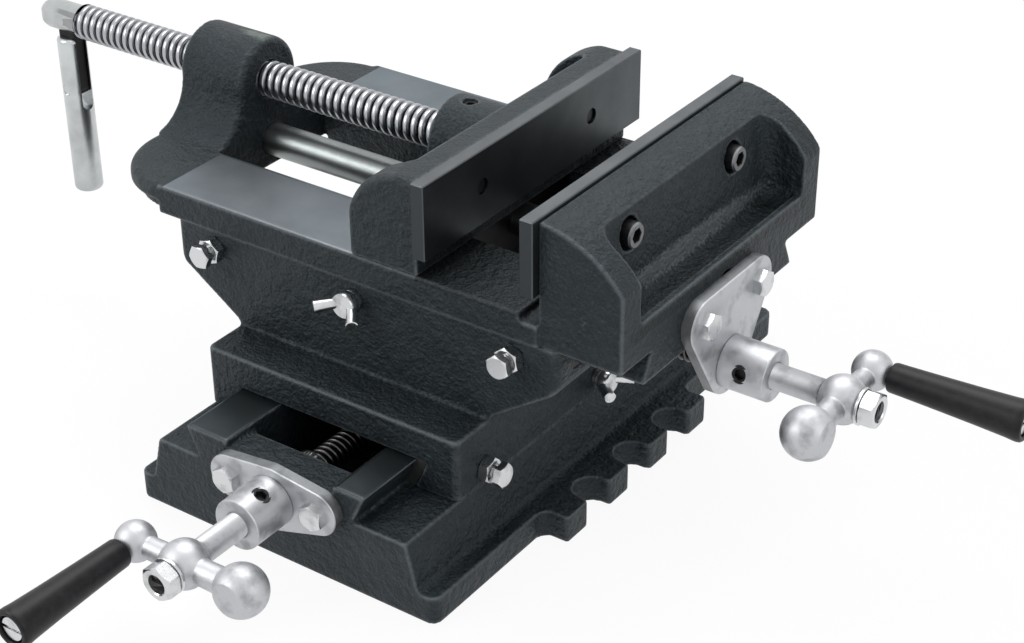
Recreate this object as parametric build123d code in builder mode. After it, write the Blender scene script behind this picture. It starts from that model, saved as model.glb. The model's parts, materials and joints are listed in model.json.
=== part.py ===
from build123d import *
import os
from math import radians, sqrt, tan

os.makedirs("parts", exist_ok=True)

# Cross slide vise: a base, a saddle that slides along Y on it, a vise that slides along X on the saddle.
# Millimetres. X runs along the vise screw, Y along the jaws and Z up.
# The origin lies on the base's underside, below the crossing of the two slides.

# Running clearances, the floor left under blind holes, and how far a cut runs past a face
slide_gap = 0.05
shaft_gap = 0.05
turning_gap = 0.15
blind_floor = 1.0
cut_margin = 4.0

# Base casting
base_half_width = 75.5
base_front = 124.3
base_rear = 134.0
base_corner = 5.0
flange_height = 12.0
shoulder_ledge = 13.5
shoulder_height = 32.4
body_draft_angle = 76.0
body_foot_rounding = 3.0
lug_reach = 11.5
lug_width = 15.0
lug_corner = 1.8
lug_root = 4.6
bolt_slot_width = 15.6
bolt_slot_count = 3
lug_row_centre = 0.6
base_trough_width = 53.0
base_trough_floor = 8.0
base_trough_corner = 4.0
base_end_wall = 15.3
front_wall_height = 42.0

# Dovetail slides
dovetail_angle = 65.0
base_way_width = 89.0
base_way_height = 13.0
base_way_centre = -1.5
cross_way_margin = 16.5
cross_way_depth = 12.0
gib_thickness = 5.0
gib_end_gap = 0.5
lower_gib_screw_reach = 74.0
upper_gib_screw_reach = 73.5
upper_gib_screw_rise = 3.6
lower_lock_offset = 5.0
upper_lock_offset = -1.5

# Saddle casting
saddle_foot_overhang = 0.5
saddle_foot_half_length = 92.0
saddle_foot_height = 27.0
saddle_foot_corner = 3.0
saddle_height = 67.5
cross_arm_inset = 1.5
cross_reach = 94.0
cross_end_height = 18.0
cross_corner = 4.0
cross_arm_rounding = 8.0
cross_root_rounding = 6.0
cross_root_rise = 1.0
cross_root_depth = 10.0
cross_opening_width = 80.0
feed_channel_width = 44.0
feed_channel_floor = 60.0

# Vise body casting
bed_thickness = 12.5
bed_rear = 102.0
bed_front = 121.5
bed_window_width = 70.0
relief_width = 7.9
relief_depth = 3.5

# Fixed jaw, part of the vise body, whose casting stands a little to one side of the screw
jaw_width = 150.0
jaw_height = 40.0
jaw_plate_height = 31.5
jaw_plate_thickness = 5.9
jaw_plate_rise = 0.5
jaw_plate_overhang = 2.5
jaw_plate_chamfer = 0.4
fixed_plate_face = 79.5
jaw_opening = 42.6
fixed_jaw_offset = 2.1
fixed_jaw_inset = 1.7
fixed_jaw_back_drop = 0.7
fixed_jaw_front_drop = 20.7
fixed_jaw_bulge = 4.7
fixed_jaw_rounding = 5.0
cheek_width = 12.6
recess_wall_top = 15.6
recess_wall_foot = 20.6
recess_lip_height = 3.0
recess_lip_width = 3.5
recess_floor_depth = 1.0
recess_rounding = 8.0
recess_foot_rounding = 4.0
plate_screw_spacing = 75.0
plate_screw_drop = 15.0
plate_screw_wall = 11.0
plate_screw_tip_recess = 1.0
plate_screw_skin = 0.2
screw_head_clearance = 0.5
core_hole_radius = 6.5
core_hole_offset = 3.0
core_hole_rise = 2.5
core_hole_depth = 12.0
upper_bolt_hole_depth = 14.0

# Rear bracket of the vise body, with the nut thread of the vise screw
bracket_length = 34.0
bracket_boss_radius = 18.0
bracket_foot_half_width = 35.0
bracket_corner = 33.5
bracket_edge_rounding = 4.0
bracket_boss_rounding = 3.0
bracket_lower_inset = 4.0
bracket_lower_height = 5.6
bracket_wall_drop = 7.5
bracket_wall_length = 20.4
bracket_wall_margin = 2.0
screw_height_over_bed = 20.2

# Movable jaw casting
movable_wall = 11.0
movable_jaw_depth = 33.0
movable_jaw_shoulder_length = 22.0
movable_jaw_shoulder_drop = 21.5
movable_jaw_bulge = 4.3
movable_jaw_shoulder_rounding = 8.0
movable_jaw_edge_rounding = 3.0
movable_jaw_foot = 8.0
movable_cheek = 12.5
movable_hollow_rounding = 5.0
movable_boss_radius = 17.6
movable_boss_reach = 3.0

# Vise screw with its folding handle
screw_radius = 8.0
journal_radius = 6.0
journal_length = 17.0
journal_groove_radius = 4.6
dog_distance = 9.0
dog_radius = 2.5
dog_gap = 0.2
dog_top_drop = 1.5
dog_shank_gap = 0.5
dog_socket_depth = 3.0
screw_thread_length = 206.0
head_radius = 6.9
head_length = 25.0
head_chamfer = 1.2
head_flat_half_width = 6.1
handle_pin_distance = 14.5
handle_pin_radius = 2.5
link_thickness = 5.6
link_width = 9.0
link_length = 34.0
link_side_gap = 0.4
handle_radius = 6.7
handle_top_gap = 2.2
handle_length = 77.5
handle_slot_length = 35.5
handle_tip_rounding = 2.0
handle_pin_inset = 0.5

# Guide rod and the keeper block that holds the movable jaw down
rod_radius = 7.25
rod_depth_below_bed = 8.1
rod_socket = 10.0
rod_end_gap = 0.5
keeper_inset = 6.0
keeper_length = 24.0
keeper_depth = 20.0
keeper_side_gap = 0.5
keeper_screw_spacing = 46.0
keeper_counterbore = 7.0

# Feed screws, the same on both slides
lead_radius = 6.0
feed_shaft_radius = 5.25
thrust_ring_radius = 8.5
thrust_ring_width = 4.5
lower_feed_centre = 1.5
lower_feed_height = 31.6
lower_thread_length = 207.0
upper_feed_height = 72.2
upper_thread_length = 216.0
nut_block_length = 30.0
nut_block_half_width = 11.0
nut_block_below_axis = 10.0
nut_flange_half_width = 21.0
nut_flange_thickness = 7.0
nut_screw_offset = 16.0
nut_screw_grip = 8.0
upper_nut_hole_depth = 12.0
lower_nut_hole_depth = 9.0

# Feed plates
plate_thickness = 5.0
plate_boss_radius = 14.0
lower_plate_lobe_radius = 9.5
lower_plate_bolt_offset = 21.7
lower_plate_rise = 2.0
upper_plate_lobe_radius = 10.3
upper_plate_bolt_offset = 20.0
upper_plate_bolt_drop = 2.0
plate_bolt_grip = 11.0

# Collars and cranks
collar_radius = 10.75
collar_length = 20.0
collar_screw_distance = 9.5
collar_screw_recess = 0.8
lower_collar_screw_angle = 67.0
upper_collar_screw_angle = -12.0
crank_distance = 53.6
hub_radius = 9.8
big_ball_radius = 10.5
big_ball_offset = 27.5
small_ball_radius = 8.2
small_ball_offset = 24.5
big_neck_radius = 5.5
big_neck_taper = -0.4
small_neck_radius = 4.3
small_neck_taper = 0.7
crank_facing = 7.8
crank_stud_radius = 4.0
crank_washer_radius = 7.5
crank_washer_thickness = 1.2
grip_length = 55.5
grip_swell_distance = 47.2
grip_small_radius = 6.0
grip_large_radius = 8.2
grip_end_radius = 8.0
grip_end_rounding = 1.0
grip_counterbore_radius = 5.6
grip_counterbore_depth = 4.0
spindle_radius = 3.0
spindle_thread = 9.0
spindle_head_radius = 4.8
spindle_head_height = 2.8
spindle_slot_width = 1.4
spindle_slot_depth = 1.2

# Standard fasteners
m6 = 6.0
m8 = 8.0
gib_screw_stand_off = 8.5
gib_screw_tip_gap = 0.3
gib_nut_thickness = 5.0
set_screw_key = 1.7
set_screw_key_depth = 2.7
lock_hub_radius = 4.8
lock_hub_length = 12.0
lock_arm_radius = 2.1
lock_arm_spread = 12.0
lock_arm_start = 6.5
lock_arm_sweep = 5.0

# Levels and stations that follow from the sizes above
base_length = base_front + base_rear
base_middle = (base_rear - base_front) / 2
shoulder_half_width = base_half_width - shoulder_ledge
saddle_foot_half_width = shoulder_half_width + saddle_foot_overhang
bed_half_width = jaw_width / 2 - jaw_plate_overhang
cross_way_width = 2 * (bed_half_width - cross_way_margin)
cross_half_width = bed_half_width - cross_arm_inset
slot_pitch = lug_width + bolt_slot_width
lug_row_length = bolt_slot_count * slot_pitch + lug_width
saddle_bottom = shoulder_height + slide_gap
saddle_foot_top = saddle_bottom + saddle_foot_height
saddle_top = saddle_bottom + saddle_height
bed_bottom = saddle_top + slide_gap
bed_top = bed_bottom + bed_thickness
cross_way_bottom = bed_bottom - cross_way_depth
jaw_top = bed_top + jaw_height
plate_bottom = jaw_top + jaw_plate_rise - jaw_plate_height
fixed_plate_back = fixed_plate_face + jaw_plate_thickness
movable_plate_face = fixed_plate_face - jaw_opening
movable_plate_back = movable_plate_face - jaw_plate_thickness
movable_jaw_rear = movable_plate_back - movable_jaw_depth
boss_face = movable_jaw_rear - movable_boss_reach
screw_height = bed_top + screw_height_over_bed
plate_screw_height = jaw_top - plate_screw_drop
plate_screw_length = plate_screw_wall + jaw_plate_thickness - plate_screw_tip_recess
rod_height = bed_top - rod_depth_below_bed
slope = tan(radians(dovetail_angle))
base_way_root = base_way_width - 2 * base_way_height / slope


def at_x(x, facing=1):
    """Plane square to X, seen from the side it faces."""
    return Plane(origin=(x, 0, 0), x_dir=(0, facing, 0), z_dir=(facing, 0, 0))


def at_y(y, facing=-1):
    """Plane square to Y, seen from the side it faces."""
    return Plane(origin=(0, y, 0), x_dir=(-facing, 0, 0), z_dir=(0, facing, 0))


def finish(piece, name):
    """Labels a finished piece and writes it."""
    piece.part.label = name
    export_step(piece.part, f"parts/{name}.step")


def cap_screws(seats, size, length):
    """Socket cap screws whose heads stand on the seat planes and whose shanks run the other way."""
    with BuildPart() as screws:
        with BuildSketch(*seats):
            Circle(size * 0.75)
        extrude(amount=size)
        with BuildSketch(*seats):
            Circle(size / 2)
        extrude(amount=-length)
        with BuildSketch(*[seat.offset(size) for seat in seats]):
            RegularPolygon(size * 0.42, 6)
        extrude(amount=-size * 0.5, mode=Mode.SUBTRACT)
    return screws


def hex_bolts(seats, size, length, stand_off=0.0):
    """Hexagon bolts whose heads stand clear of the seat planes by the stand-off."""
    with BuildPart() as bolts:
        with BuildSketch(*[seat.offset(stand_off) for seat in seats]):
            RegularPolygon(size * 0.83, 6, major_radius=False)
        extrude(amount=size * 0.66)
        with BuildSketch(*[seat.offset(stand_off) for seat in seats]):
            Circle(size / 2)
        extrude(amount=-length - stand_off)
    return bolts


def hex_nuts(seats, size, thickness):
    """Hexagon nuts standing on the seat planes."""
    with BuildPart() as nuts:
        with BuildSketch(*seats):
            RegularPolygon(size * 0.82, 6, major_radius=False)
            Circle(size / 2 + shaft_gap, mode=Mode.SUBTRACT)
        extrude(amount=thickness)
    return nuts


def wing_lock(seat, length):
    """Lock screw with a round hub and two arms, its shank running in from the seat plane."""
    with BuildPart(seat) as lock:
        Cylinder(lock_hub_radius, lock_hub_length, align=(Align.CENTER, Align.CENTER, Align.MIN))
        with BuildSketch(seat):
            Circle(m6 / 2)
        extrude(amount=-length)
        for side in (-1, 1):
            root = seat.from_local_coords(Vector(0, 0, lock_arm_start))
            tip = seat.from_local_coords(Vector(side * lock_arm_spread, 0, lock_arm_start + lock_arm_sweep))
            with BuildSketch(Plane(origin=root, z_dir=tip - root)):
                Circle(lock_arm_radius)
            extrude(amount=(tip - root).length)
    return lock


# Base: flange with bolt lugs, drafted body, male dovetail way along Y and a trough for the feed screw
with BuildPart() as base:
    with BuildSketch() as foot:
        with Locations((0, base_middle)):
            RectangleRounded(2 * base_half_width, base_length, base_corner)
        with Locations((0, lug_row_centre)):
            Rectangle(2 * (base_half_width + lug_reach), lug_row_length)
            slot_length = 2 * lug_reach + bolt_slot_width
            with GridLocations(2 * base_half_width + slot_length, slot_pitch, 2, bolt_slot_count):
                SlotOverall(slot_length, bolt_slot_width, mode=Mode.SUBTRACT)
        lug_corners = foot.vertices().filter_by(lambda v: abs(v.X) > base_half_width + lug_reach - 0.1)
        fillet(lug_corners, lug_corner)
        lug_roots = foot.vertices().filter_by(
            lambda v: abs(abs(v.X) - base_half_width) < 0.01
            and abs(abs(v.Y - lug_row_centre) - lug_row_length / 2) < 0.01
        )
        fillet(lug_roots, lug_root)
    extrude(amount=flange_height)
    with BuildSketch(at_y(-base_front)):
        body_height = shoulder_height - flange_height
        body_foot_width = 2 * (shoulder_half_width + body_height / tan(radians(body_draft_angle)))
        with Locations((0, flange_height)):
            Trapezoid(body_foot_width, body_height, body_draft_angle, align=(Align.CENTER, Align.MIN))
        with Locations((base_way_centre, shoulder_height)):
            Trapezoid(base_way_width, base_way_height, 180 - dovetail_angle, align=(Align.CENTER, Align.MIN))
    extrude(amount=-base_length)
    body_foot_edges = base.edges().filter_by(Axis.Y).filter_by(
        lambda e: abs(e.center().Z - flange_height) < 0.01 and abs(abs(e.center().X) - body_foot_width / 2) < 0.01
    )
    fillet(body_foot_edges, body_foot_rounding)
    trough_length = base_length - 2 * base_end_wall
    trough_centre = (lower_feed_centre, base_middle)
    with BuildSketch(Plane.XY.offset(base_trough_floor)):
        with Locations(trough_centre):
            RectangleRounded(base_trough_width, trough_length, base_trough_corner)
    extrude(amount=shoulder_height + base_way_height, mode=Mode.SUBTRACT)
    with BuildSketch(Plane.XY.offset(front_wall_height)):
        with Locations((lower_feed_centre, -base_front + base_end_wall / 2)):
            Rectangle(base_trough_width, base_end_wall + 2 * cut_margin)
    extrude(amount=base_way_height, mode=Mode.SUBTRACT)
    with BuildSketch(at_y(-base_front)):
        with Locations((lower_feed_centre, lower_feed_height)):
            Circle(feed_shaft_radius + shaft_gap)
        with Locations((lower_feed_centre, lower_feed_height + lower_plate_rise)):
            with GridLocations(2 * lower_plate_bolt_offset, 0, 2, 1):
                Circle(m6 / 2 + shaft_gap)
    extrude(amount=-base_end_wall, mode=Mode.SUBTRACT)
finish(base, "base")

# Saddle: foot block, cross arms, both female dovetails, feed channel and the openings at the arms' ends
lower_flank = base_way_root / 2 + slide_gap
lower_gib_space = gib_thickness + slide_gap
upper_flank = cross_way_width / 2 + slide_gap
lower_roof = shoulder_height + base_way_height + slide_gap
gib_screw_height_low = shoulder_height + base_way_height / 2
gib_screw_height_high = cross_way_bottom + upper_gib_screw_rise
lower_gib_seats = [
    Plane(origin=(saddle_foot_half_width, side * lower_gib_screw_reach, gib_screw_height_low), z_dir=(1, 0, 0))
    for side in (-1, 1)
]
upper_gib_seats = [
    Plane(origin=(side * upper_gib_screw_reach, -cross_half_width, gib_screw_height_high), z_dir=(0, -1, 0))
    for side in (-1, 1)
]
lower_lock_seat = Plane(
    origin=(saddle_foot_half_width, lower_lock_offset, gib_screw_height_low), x_dir=(0, 1, 0), z_dir=(1, 0, 0)
)
upper_lock_seat = Plane(
    origin=(upper_lock_offset, -cross_half_width, gib_screw_height_high), x_dir=(1, 0, 0), z_dir=(0, -1, 0)
)
# The gib's outer face leans, so each screw stops at the place that its height gives.
lower_gib_face = (
    base_way_centre + lower_flank + gib_thickness
    + (gib_screw_height_low - shoulder_height + m6 / 2) / slope
)
upper_gib_face = (
    upper_flank + gib_thickness
    - (gib_screw_height_high - cross_way_bottom - m6 / 2) / slope
)
lower_screw_reach = saddle_foot_half_width - lower_gib_face - gib_screw_tip_gap
upper_screw_reach = cross_half_width - upper_gib_face - gib_screw_tip_gap
nut_screw_places = [(0, side * nut_screw_offset) for side in (-1, 1)]

with BuildPart() as saddle:
    with BuildSketch(at_y(-cross_half_width)) as cross_profile:
        with BuildLine():
            end_bottom = saddle_top - cross_end_height
            cross_root_height = saddle_foot_top + cross_root_rise
            Polyline(
                (-saddle_foot_half_width, saddle_foot_top - cross_root_depth),
                (-saddle_foot_half_width, cross_root_height),
                (-cross_reach, end_bottom),
                (-cross_reach, saddle_top),
                (cross_reach, saddle_top),
                (cross_reach, end_bottom),
                (saddle_foot_half_width, cross_root_height),
                (saddle_foot_half_width, saddle_foot_top - cross_root_depth),
                close=True,
            )
        make_face()
        arm_corners = cross_profile.vertices().filter_by(lambda v: abs(v.Y - end_bottom) < 0.01)
        fillet(arm_corners, cross_arm_rounding)
        arm_roots = cross_profile.vertices().filter_by(lambda v: abs(v.Y - cross_root_height) < 0.01)
        fillet(arm_roots, cross_root_rounding)
    extrude(amount=-2 * cross_half_width)
    with BuildSketch():
        RectangleRounded(2 * cross_reach, 2 * cross_half_width, cross_corner)
    extrude(amount=saddle_top, mode=Mode.INTERSECT)
    with BuildSketch(Plane.XY.offset(saddle_bottom)):
        RectangleRounded(2 * saddle_foot_half_width, 2 * saddle_foot_half_length, saddle_foot_corner)
    extrude(amount=saddle_foot_height)
    with BuildSketch(at_y(-saddle_foot_half_length)):
        with Locations((base_way_centre + lower_gib_space / 2, shoulder_height)):
            Trapezoid(
                2 * (lower_flank + (base_way_height + slide_gap) / slope) + lower_gib_space,
                base_way_height + slide_gap,
                180 - dovetail_angle,
                align=(Align.CENTER, Align.MIN),
            )
    extrude(amount=-2 * saddle_foot_half_length, mode=Mode.SUBTRACT)
    with BuildSketch(at_x(cross_reach)):
        with Locations((-lower_gib_space / 2, cross_way_bottom - slide_gap)):
            Trapezoid(
                2 * upper_flank + lower_gib_space + 2 * slide_gap / slope,
                cross_way_depth + 2 * slide_gap,
                dovetail_angle,
                align=(Align.CENTER, Align.MIN),
            )
    extrude(amount=-2 * cross_reach, mode=Mode.SUBTRACT)
    with BuildSketch(Plane.XY.offset(saddle_foot_top)):
        opening_length = cross_reach - saddle_foot_half_width
        with GridLocations(2 * saddle_foot_half_width + 2 * opening_length, 0, 2, 1):
            RectangleRounded(2 * opening_length, cross_opening_width, cross_corner)
    extrude(amount=saddle_height, mode=Mode.SUBTRACT)
    with BuildSketch(Plane.XY.offset(feed_channel_floor)):
        Rectangle(2 * saddle_foot_half_width, feed_channel_width)
    extrude(amount=saddle_height, mode=Mode.SUBTRACT)
    with BuildSketch(*lower_gib_seats, lower_lock_seat):
        Circle(m6 / 2 + shaft_gap)
    extrude(amount=-(saddle_foot_half_width - lower_gib_face), mode=Mode.SUBTRACT)
    with BuildSketch(*upper_gib_seats, upper_lock_seat):
        Circle(m6 / 2 + shaft_gap)
    extrude(amount=-(cross_half_width - upper_gib_face), mode=Mode.SUBTRACT)
    with BuildSketch(Plane.XY.offset(feed_channel_floor)):
        with Locations(*nut_screw_places):
            Circle(m6 / 2 + shaft_gap)
    extrude(amount=-upper_nut_hole_depth, mode=Mode.SUBTRACT)
    with BuildSketch(Plane.XY.offset(lower_roof)):
        with Locations(*[(lower_feed_centre + place[1], place[0]) for place in nut_screw_places]):
            Circle(m6 / 2 + shaft_gap)
    extrude(amount=lower_nut_hole_depth, mode=Mode.SUBTRACT)
finish(saddle, "saddle")

# Gibs: slanted strips between the fixed flank and the adjusting screws
with BuildPart() as lower_gib:
    with BuildSketch(at_y(-saddle_foot_half_length + gib_end_gap)):
        with BuildLine():
            low = saddle_bottom
            high = shoulder_height + base_way_height
            face_low = base_way_centre + lower_flank + (low - shoulder_height) / slope
            face_high = base_way_centre + lower_flank + (high - shoulder_height) / slope
            Polyline(
                (face_low, low),
                (face_low + gib_thickness, low),
                (face_high + gib_thickness, high),
                (face_high, high),
                close=True,
            )
        make_face()
    extrude(amount=-2 * (saddle_foot_half_length - gib_end_gap))
finish(lower_gib, "lower_gib")

with BuildPart() as upper_gib:
    with BuildSketch(at_x(cross_reach - gib_end_gap)):
        with BuildLine():
            face_low = -upper_flank
            face_high = -upper_flank + cross_way_depth / slope
            Polyline(
                (face_low, cross_way_bottom),
                (face_low - gib_thickness, cross_way_bottom),
                (face_high - gib_thickness, bed_bottom - slide_gap),
                (face_high, bed_bottom - slide_gap),
                close=True,
            )
        make_face()
    extrude(amount=-2 * (cross_reach - gib_end_gap))
finish(upper_gib, "upper_gib")

# Gib screws with their locknuts, and the two wing screws that lock the slides
finish(hex_bolts(lower_gib_seats, m6, lower_screw_reach, gib_screw_stand_off), "lower_gib_screws")
finish(hex_bolts(upper_gib_seats, m6, upper_screw_reach, gib_screw_stand_off), "upper_gib_screws")
finish(hex_nuts(lower_gib_seats, m6, gib_nut_thickness), "lower_gib_locknuts")
finish(hex_nuts(upper_gib_seats, m6, gib_nut_thickness), "upper_gib_locknuts")
finish(wing_lock(lower_lock_seat.offset(turning_gap), lower_screw_reach), "lower_slide_lock")
finish(wing_lock(upper_lock_seat.offset(turning_gap), upper_screw_reach), "upper_slide_lock")

# Outer recess of the fixed jaw, taken out of the casting between its cheeks
fixed_jaw_half_width = jaw_width / 2 - fixed_jaw_inset
recess_half_length = fixed_jaw_half_width - cheek_width
with BuildPart() as jaw_recess:
    with BuildSketch(at_y(fixed_jaw_offset - recess_half_length)) as recess_profile:
        with BuildLine():
            recess_floor = bed_top - recess_floor_depth
            lip_top = bed_top + recess_lip_height
            wall_foot = fixed_plate_back + recess_wall_foot
            above = jaw_top + cut_margin
            Polyline(
                (fixed_plate_back + recess_wall_top, above),
                (fixed_plate_back + recess_wall_top, jaw_top),
                (wall_foot, recess_floor),
                (bed_front - recess_lip_width, recess_floor),
                (bed_front - recess_lip_width, lip_top),
                (bed_front + cut_margin, lip_top),
                (bed_front + cut_margin, above),
                close=True,
            )
        make_face()
        foot_corner = recess_profile.vertices().filter_by(lambda v: abs(v.X - wall_foot) < 0.01)
        fillet(foot_corner, recess_foot_rounding)
    extrude(amount=-2 * recess_half_length)
    wall_corners = jaw_recess.edges().filter_by(
        lambda e: abs(abs(e.center().Y - fixed_jaw_offset) - recess_half_length) < 0.01
        and e.center().X < wall_foot
        and lip_top < e.center().Z < jaw_top
    )
    fillet(wall_corners, recess_rounding)

# Wings of the rear bracket, with a rounded upper edge and a layer set in below
with BuildPart() as bracket_wings:
    with BuildSketch(Plane.XY.offset(bed_bottom + bracket_lower_height)):
        with Locations((-bed_rear, 0)):
            RectangleRounded(2 * bracket_length, 2 * bed_half_width, bracket_corner)
    extrude(amount=bed_thickness - bracket_lower_height)
    fillet(bracket_wings.faces().sort_by(Axis.Z)[-1].edges(), bracket_edge_rounding)
    with BuildSketch(Plane.XY.offset(bed_bottom)):
        with Locations((-bed_rear, 0)):
            RectangleRounded(
                2 * (bracket_length - bracket_lower_inset),
                2 * (bed_half_width - bracket_lower_inset),
                bracket_corner - bracket_lower_inset,
            )
    extrude(amount=bracket_lower_height)
    with BuildSketch(Plane.XY.offset(bed_bottom)):
        with Locations((-bed_rear, 0)):
            Rectangle(bracket_length, 2 * bed_half_width, align=(Align.MAX, Align.CENTER))
    extrude(amount=bed_thickness, mode=Mode.INTERSECT)

# Vise body: bed, male dovetail along X, fixed jaw and the rear bracket
fixed_screw_seats = [
    Plane(
        origin=(fixed_plate_back + plate_screw_wall, side * plate_screw_spacing / 2, plate_screw_height),
        z_dir=(1, 0, 0),
    )
    for side in (-1, 1)
]
with BuildPart() as vise_body:
    with BuildSketch(Plane.XY.offset(bed_bottom)):
        with Locations((-bed_rear, 0)):
            Rectangle(bed_rear + fixed_plate_back, 2 * bed_half_width, align=(Align.MIN, Align.CENTER))
    extrude(amount=bed_thickness)
    with BuildSketch(at_x(bed_front)):
        with Locations((0, cross_way_bottom)):
            Trapezoid(cross_way_width, cross_way_depth, dovetail_angle, align=(Align.CENTER, Align.MIN))
    extrude(amount=-(bed_front + bed_rear))
    with BuildSketch(at_y(fixed_jaw_offset - fixed_jaw_half_width)) as fixed_jaw_profile:
        with BuildLine():
            back_top = Vector(fixed_plate_back, jaw_top - fixed_jaw_back_drop)
            front_top = Vector(bed_front, jaw_top - fixed_jaw_front_drop)
            outward = (front_top - back_top).rotate(Axis.Z, 90).normalized()
            ThreePointArc(back_top, (back_top + front_top) / 2 + outward * fixed_jaw_bulge, front_top)
            Polyline(front_top, (bed_front, bed_bottom), (fixed_plate_back, bed_bottom), back_top)
        make_face()
        front_corner = fixed_jaw_profile.vertices().filter_by(
            lambda v: v.X > bed_front - 0.01 and v.Y > bed_top
        )
        fillet(front_corner, fixed_jaw_rounding)
    extrude(amount=-2 * fixed_jaw_half_width)
    add(jaw_recess.part, mode=Mode.SUBTRACT)
    add(bracket_wings.part)
    with BuildSketch(at_x(-bed_rear)):
        with BuildLine():
            neck = bracket_boss_radius
            foot_width = bracket_foot_half_width
            flare = foot_width - neck
            flare_radius = (flare * flare + screw_height_over_bed ** 2) / (2 * flare)
            reach = flare_radius - flare / 2
            middle_drop = sqrt(flare_radius ** 2 - reach ** 2)
            middle = (neck + flare / 2, screw_height - middle_drop)
            ThreePointArc((neck, screw_height), middle, (foot_width, bed_top))
            ThreePointArc((-neck, screw_height), (-middle[0], middle[1]), (-foot_width, bed_top))
            ThreePointArc((-neck, screw_height), (0, screw_height + neck), (neck, screw_height))
            Polyline((-foot_width, bed_top), (-foot_width, bed_bottom), (foot_width, bed_bottom), (foot_width, bed_top))
        make_face()
    extrude(amount=-bracket_length)
    boss_front_edges = vise_body.edges().filter_by(
        lambda e: abs(e.center().X + bed_rear) < 0.01 and e.center().Z > bed_top + 0.01
    )
    fillet(boss_front_edges, bracket_boss_rounding)
    with BuildSketch(at_x(-bed_rear)):
        with Locations((0, bed_bottom - bracket_wall_drop)):
            Rectangle(
                bed_window_width + 2 * bracket_wall_margin,
                bracket_wall_drop + bracket_lower_height,
                align=(Align.CENTER, Align.MIN),
            )
    extrude(amount=-bracket_wall_length)
    with BuildSketch(Plane.XY.offset(cross_way_bottom)):
        with Locations((-bed_rear, 0)):
            Rectangle(bed_rear + fixed_plate_back, bed_window_width, align=(Align.MIN, Align.CENTER))
    extrude(amount=cross_way_depth + bed_thickness, mode=Mode.SUBTRACT)
    with BuildSketch(Plane.XY.offset(bed_top)):
        with Locations((fixed_plate_back, 0)):
            Rectangle(relief_width, 2 * bed_half_width, align=(Align.MAX, Align.CENTER))
    extrude(amount=-relief_depth, mode=Mode.SUBTRACT)
    with BuildSketch(at_x(-bed_rear)):
        with Locations((0, screw_height)):
            Circle(screw_radius + shaft_gap)
    extrude(amount=-bracket_length, mode=Mode.SUBTRACT)
    with BuildSketch(at_x(-bed_rear - rod_socket)):
        with Locations((0, rod_height)):
            Circle(rod_radius + shaft_gap)
    extrude(amount=bed_rear + fixed_plate_back + 2 * rod_socket, mode=Mode.SUBTRACT)
    with BuildSketch(at_x(bed_front)):
        with Locations((core_hole_offset, bed_bottom + core_hole_rise)):
            Circle(core_hole_radius)
    extrude(amount=-core_hole_depth, mode=Mode.SUBTRACT)
    with BuildSketch(at_x(bed_front)):
        with Locations((0, bed_bottom - upper_plate_bolt_drop)):
            with GridLocations(2 * upper_plate_bolt_offset, 0, 2, 1):
                Circle(m6 / 2 + shaft_gap)
    extrude(amount=-upper_bolt_hole_depth, mode=Mode.SUBTRACT)
    with BuildSketch(*fixed_screw_seats):
        Circle(m8 * 0.75 + screw_head_clearance)
    extrude(amount=bed_front, mode=Mode.SUBTRACT)
    with BuildSketch(*fixed_screw_seats):
        Circle(m8 / 2 + shaft_gap)
    extrude(amount=-plate_screw_wall, mode=Mode.SUBTRACT)
finish(vise_body, "vise_body")


def jaw_plate(face, facing):
    """Hardened jaw plate whose gripping face lies at a station and looks along X or against it."""
    back = at_x(face - facing * jaw_plate_thickness, facing)
    with BuildPart() as plate:
        with BuildSketch(back):
            with Locations((0, plate_bottom)):
                Rectangle(jaw_width, jaw_plate_height, align=(Align.CENTER, Align.MIN))
        extrude(amount=jaw_plate_thickness)
        chamfer(plate.edges(), jaw_plate_chamfer)
        with BuildSketch(back):
            with Locations((0, plate_screw_height)):
                with GridLocations(plate_screw_spacing, 0, 2, 1):
                    Circle(m8 / 2 + shaft_gap)
        extrude(amount=jaw_plate_thickness - plate_screw_tip_recess + plate_screw_skin, mode=Mode.SUBTRACT)
        with BuildSketch(back):
            with Locations((0, plate_screw_height)):
                with GridLocations(plate_screw_spacing, 0, 2, 1):
                    Circle(m8 * 0.42)
        extrude(amount=jaw_plate_thickness, mode=Mode.SUBTRACT)
    return plate


movable_screw_seats = [
    Plane(
        origin=(movable_plate_back - movable_wall, side * plate_screw_spacing / 2, plate_screw_height),
        z_dir=(-1, 0, 0),
    )
    for side in (-1, 1)
]
finish(jaw_plate(fixed_plate_face, -1), "fixed_jaw_plate")
finish(jaw_plate(movable_plate_face, 1), "movable_jaw_plate")
finish(cap_screws(fixed_screw_seats, m8, plate_screw_length), "fixed_plate_screws")
finish(cap_screws(movable_screw_seats, m8, plate_screw_length), "movable_plate_screws")

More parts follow.
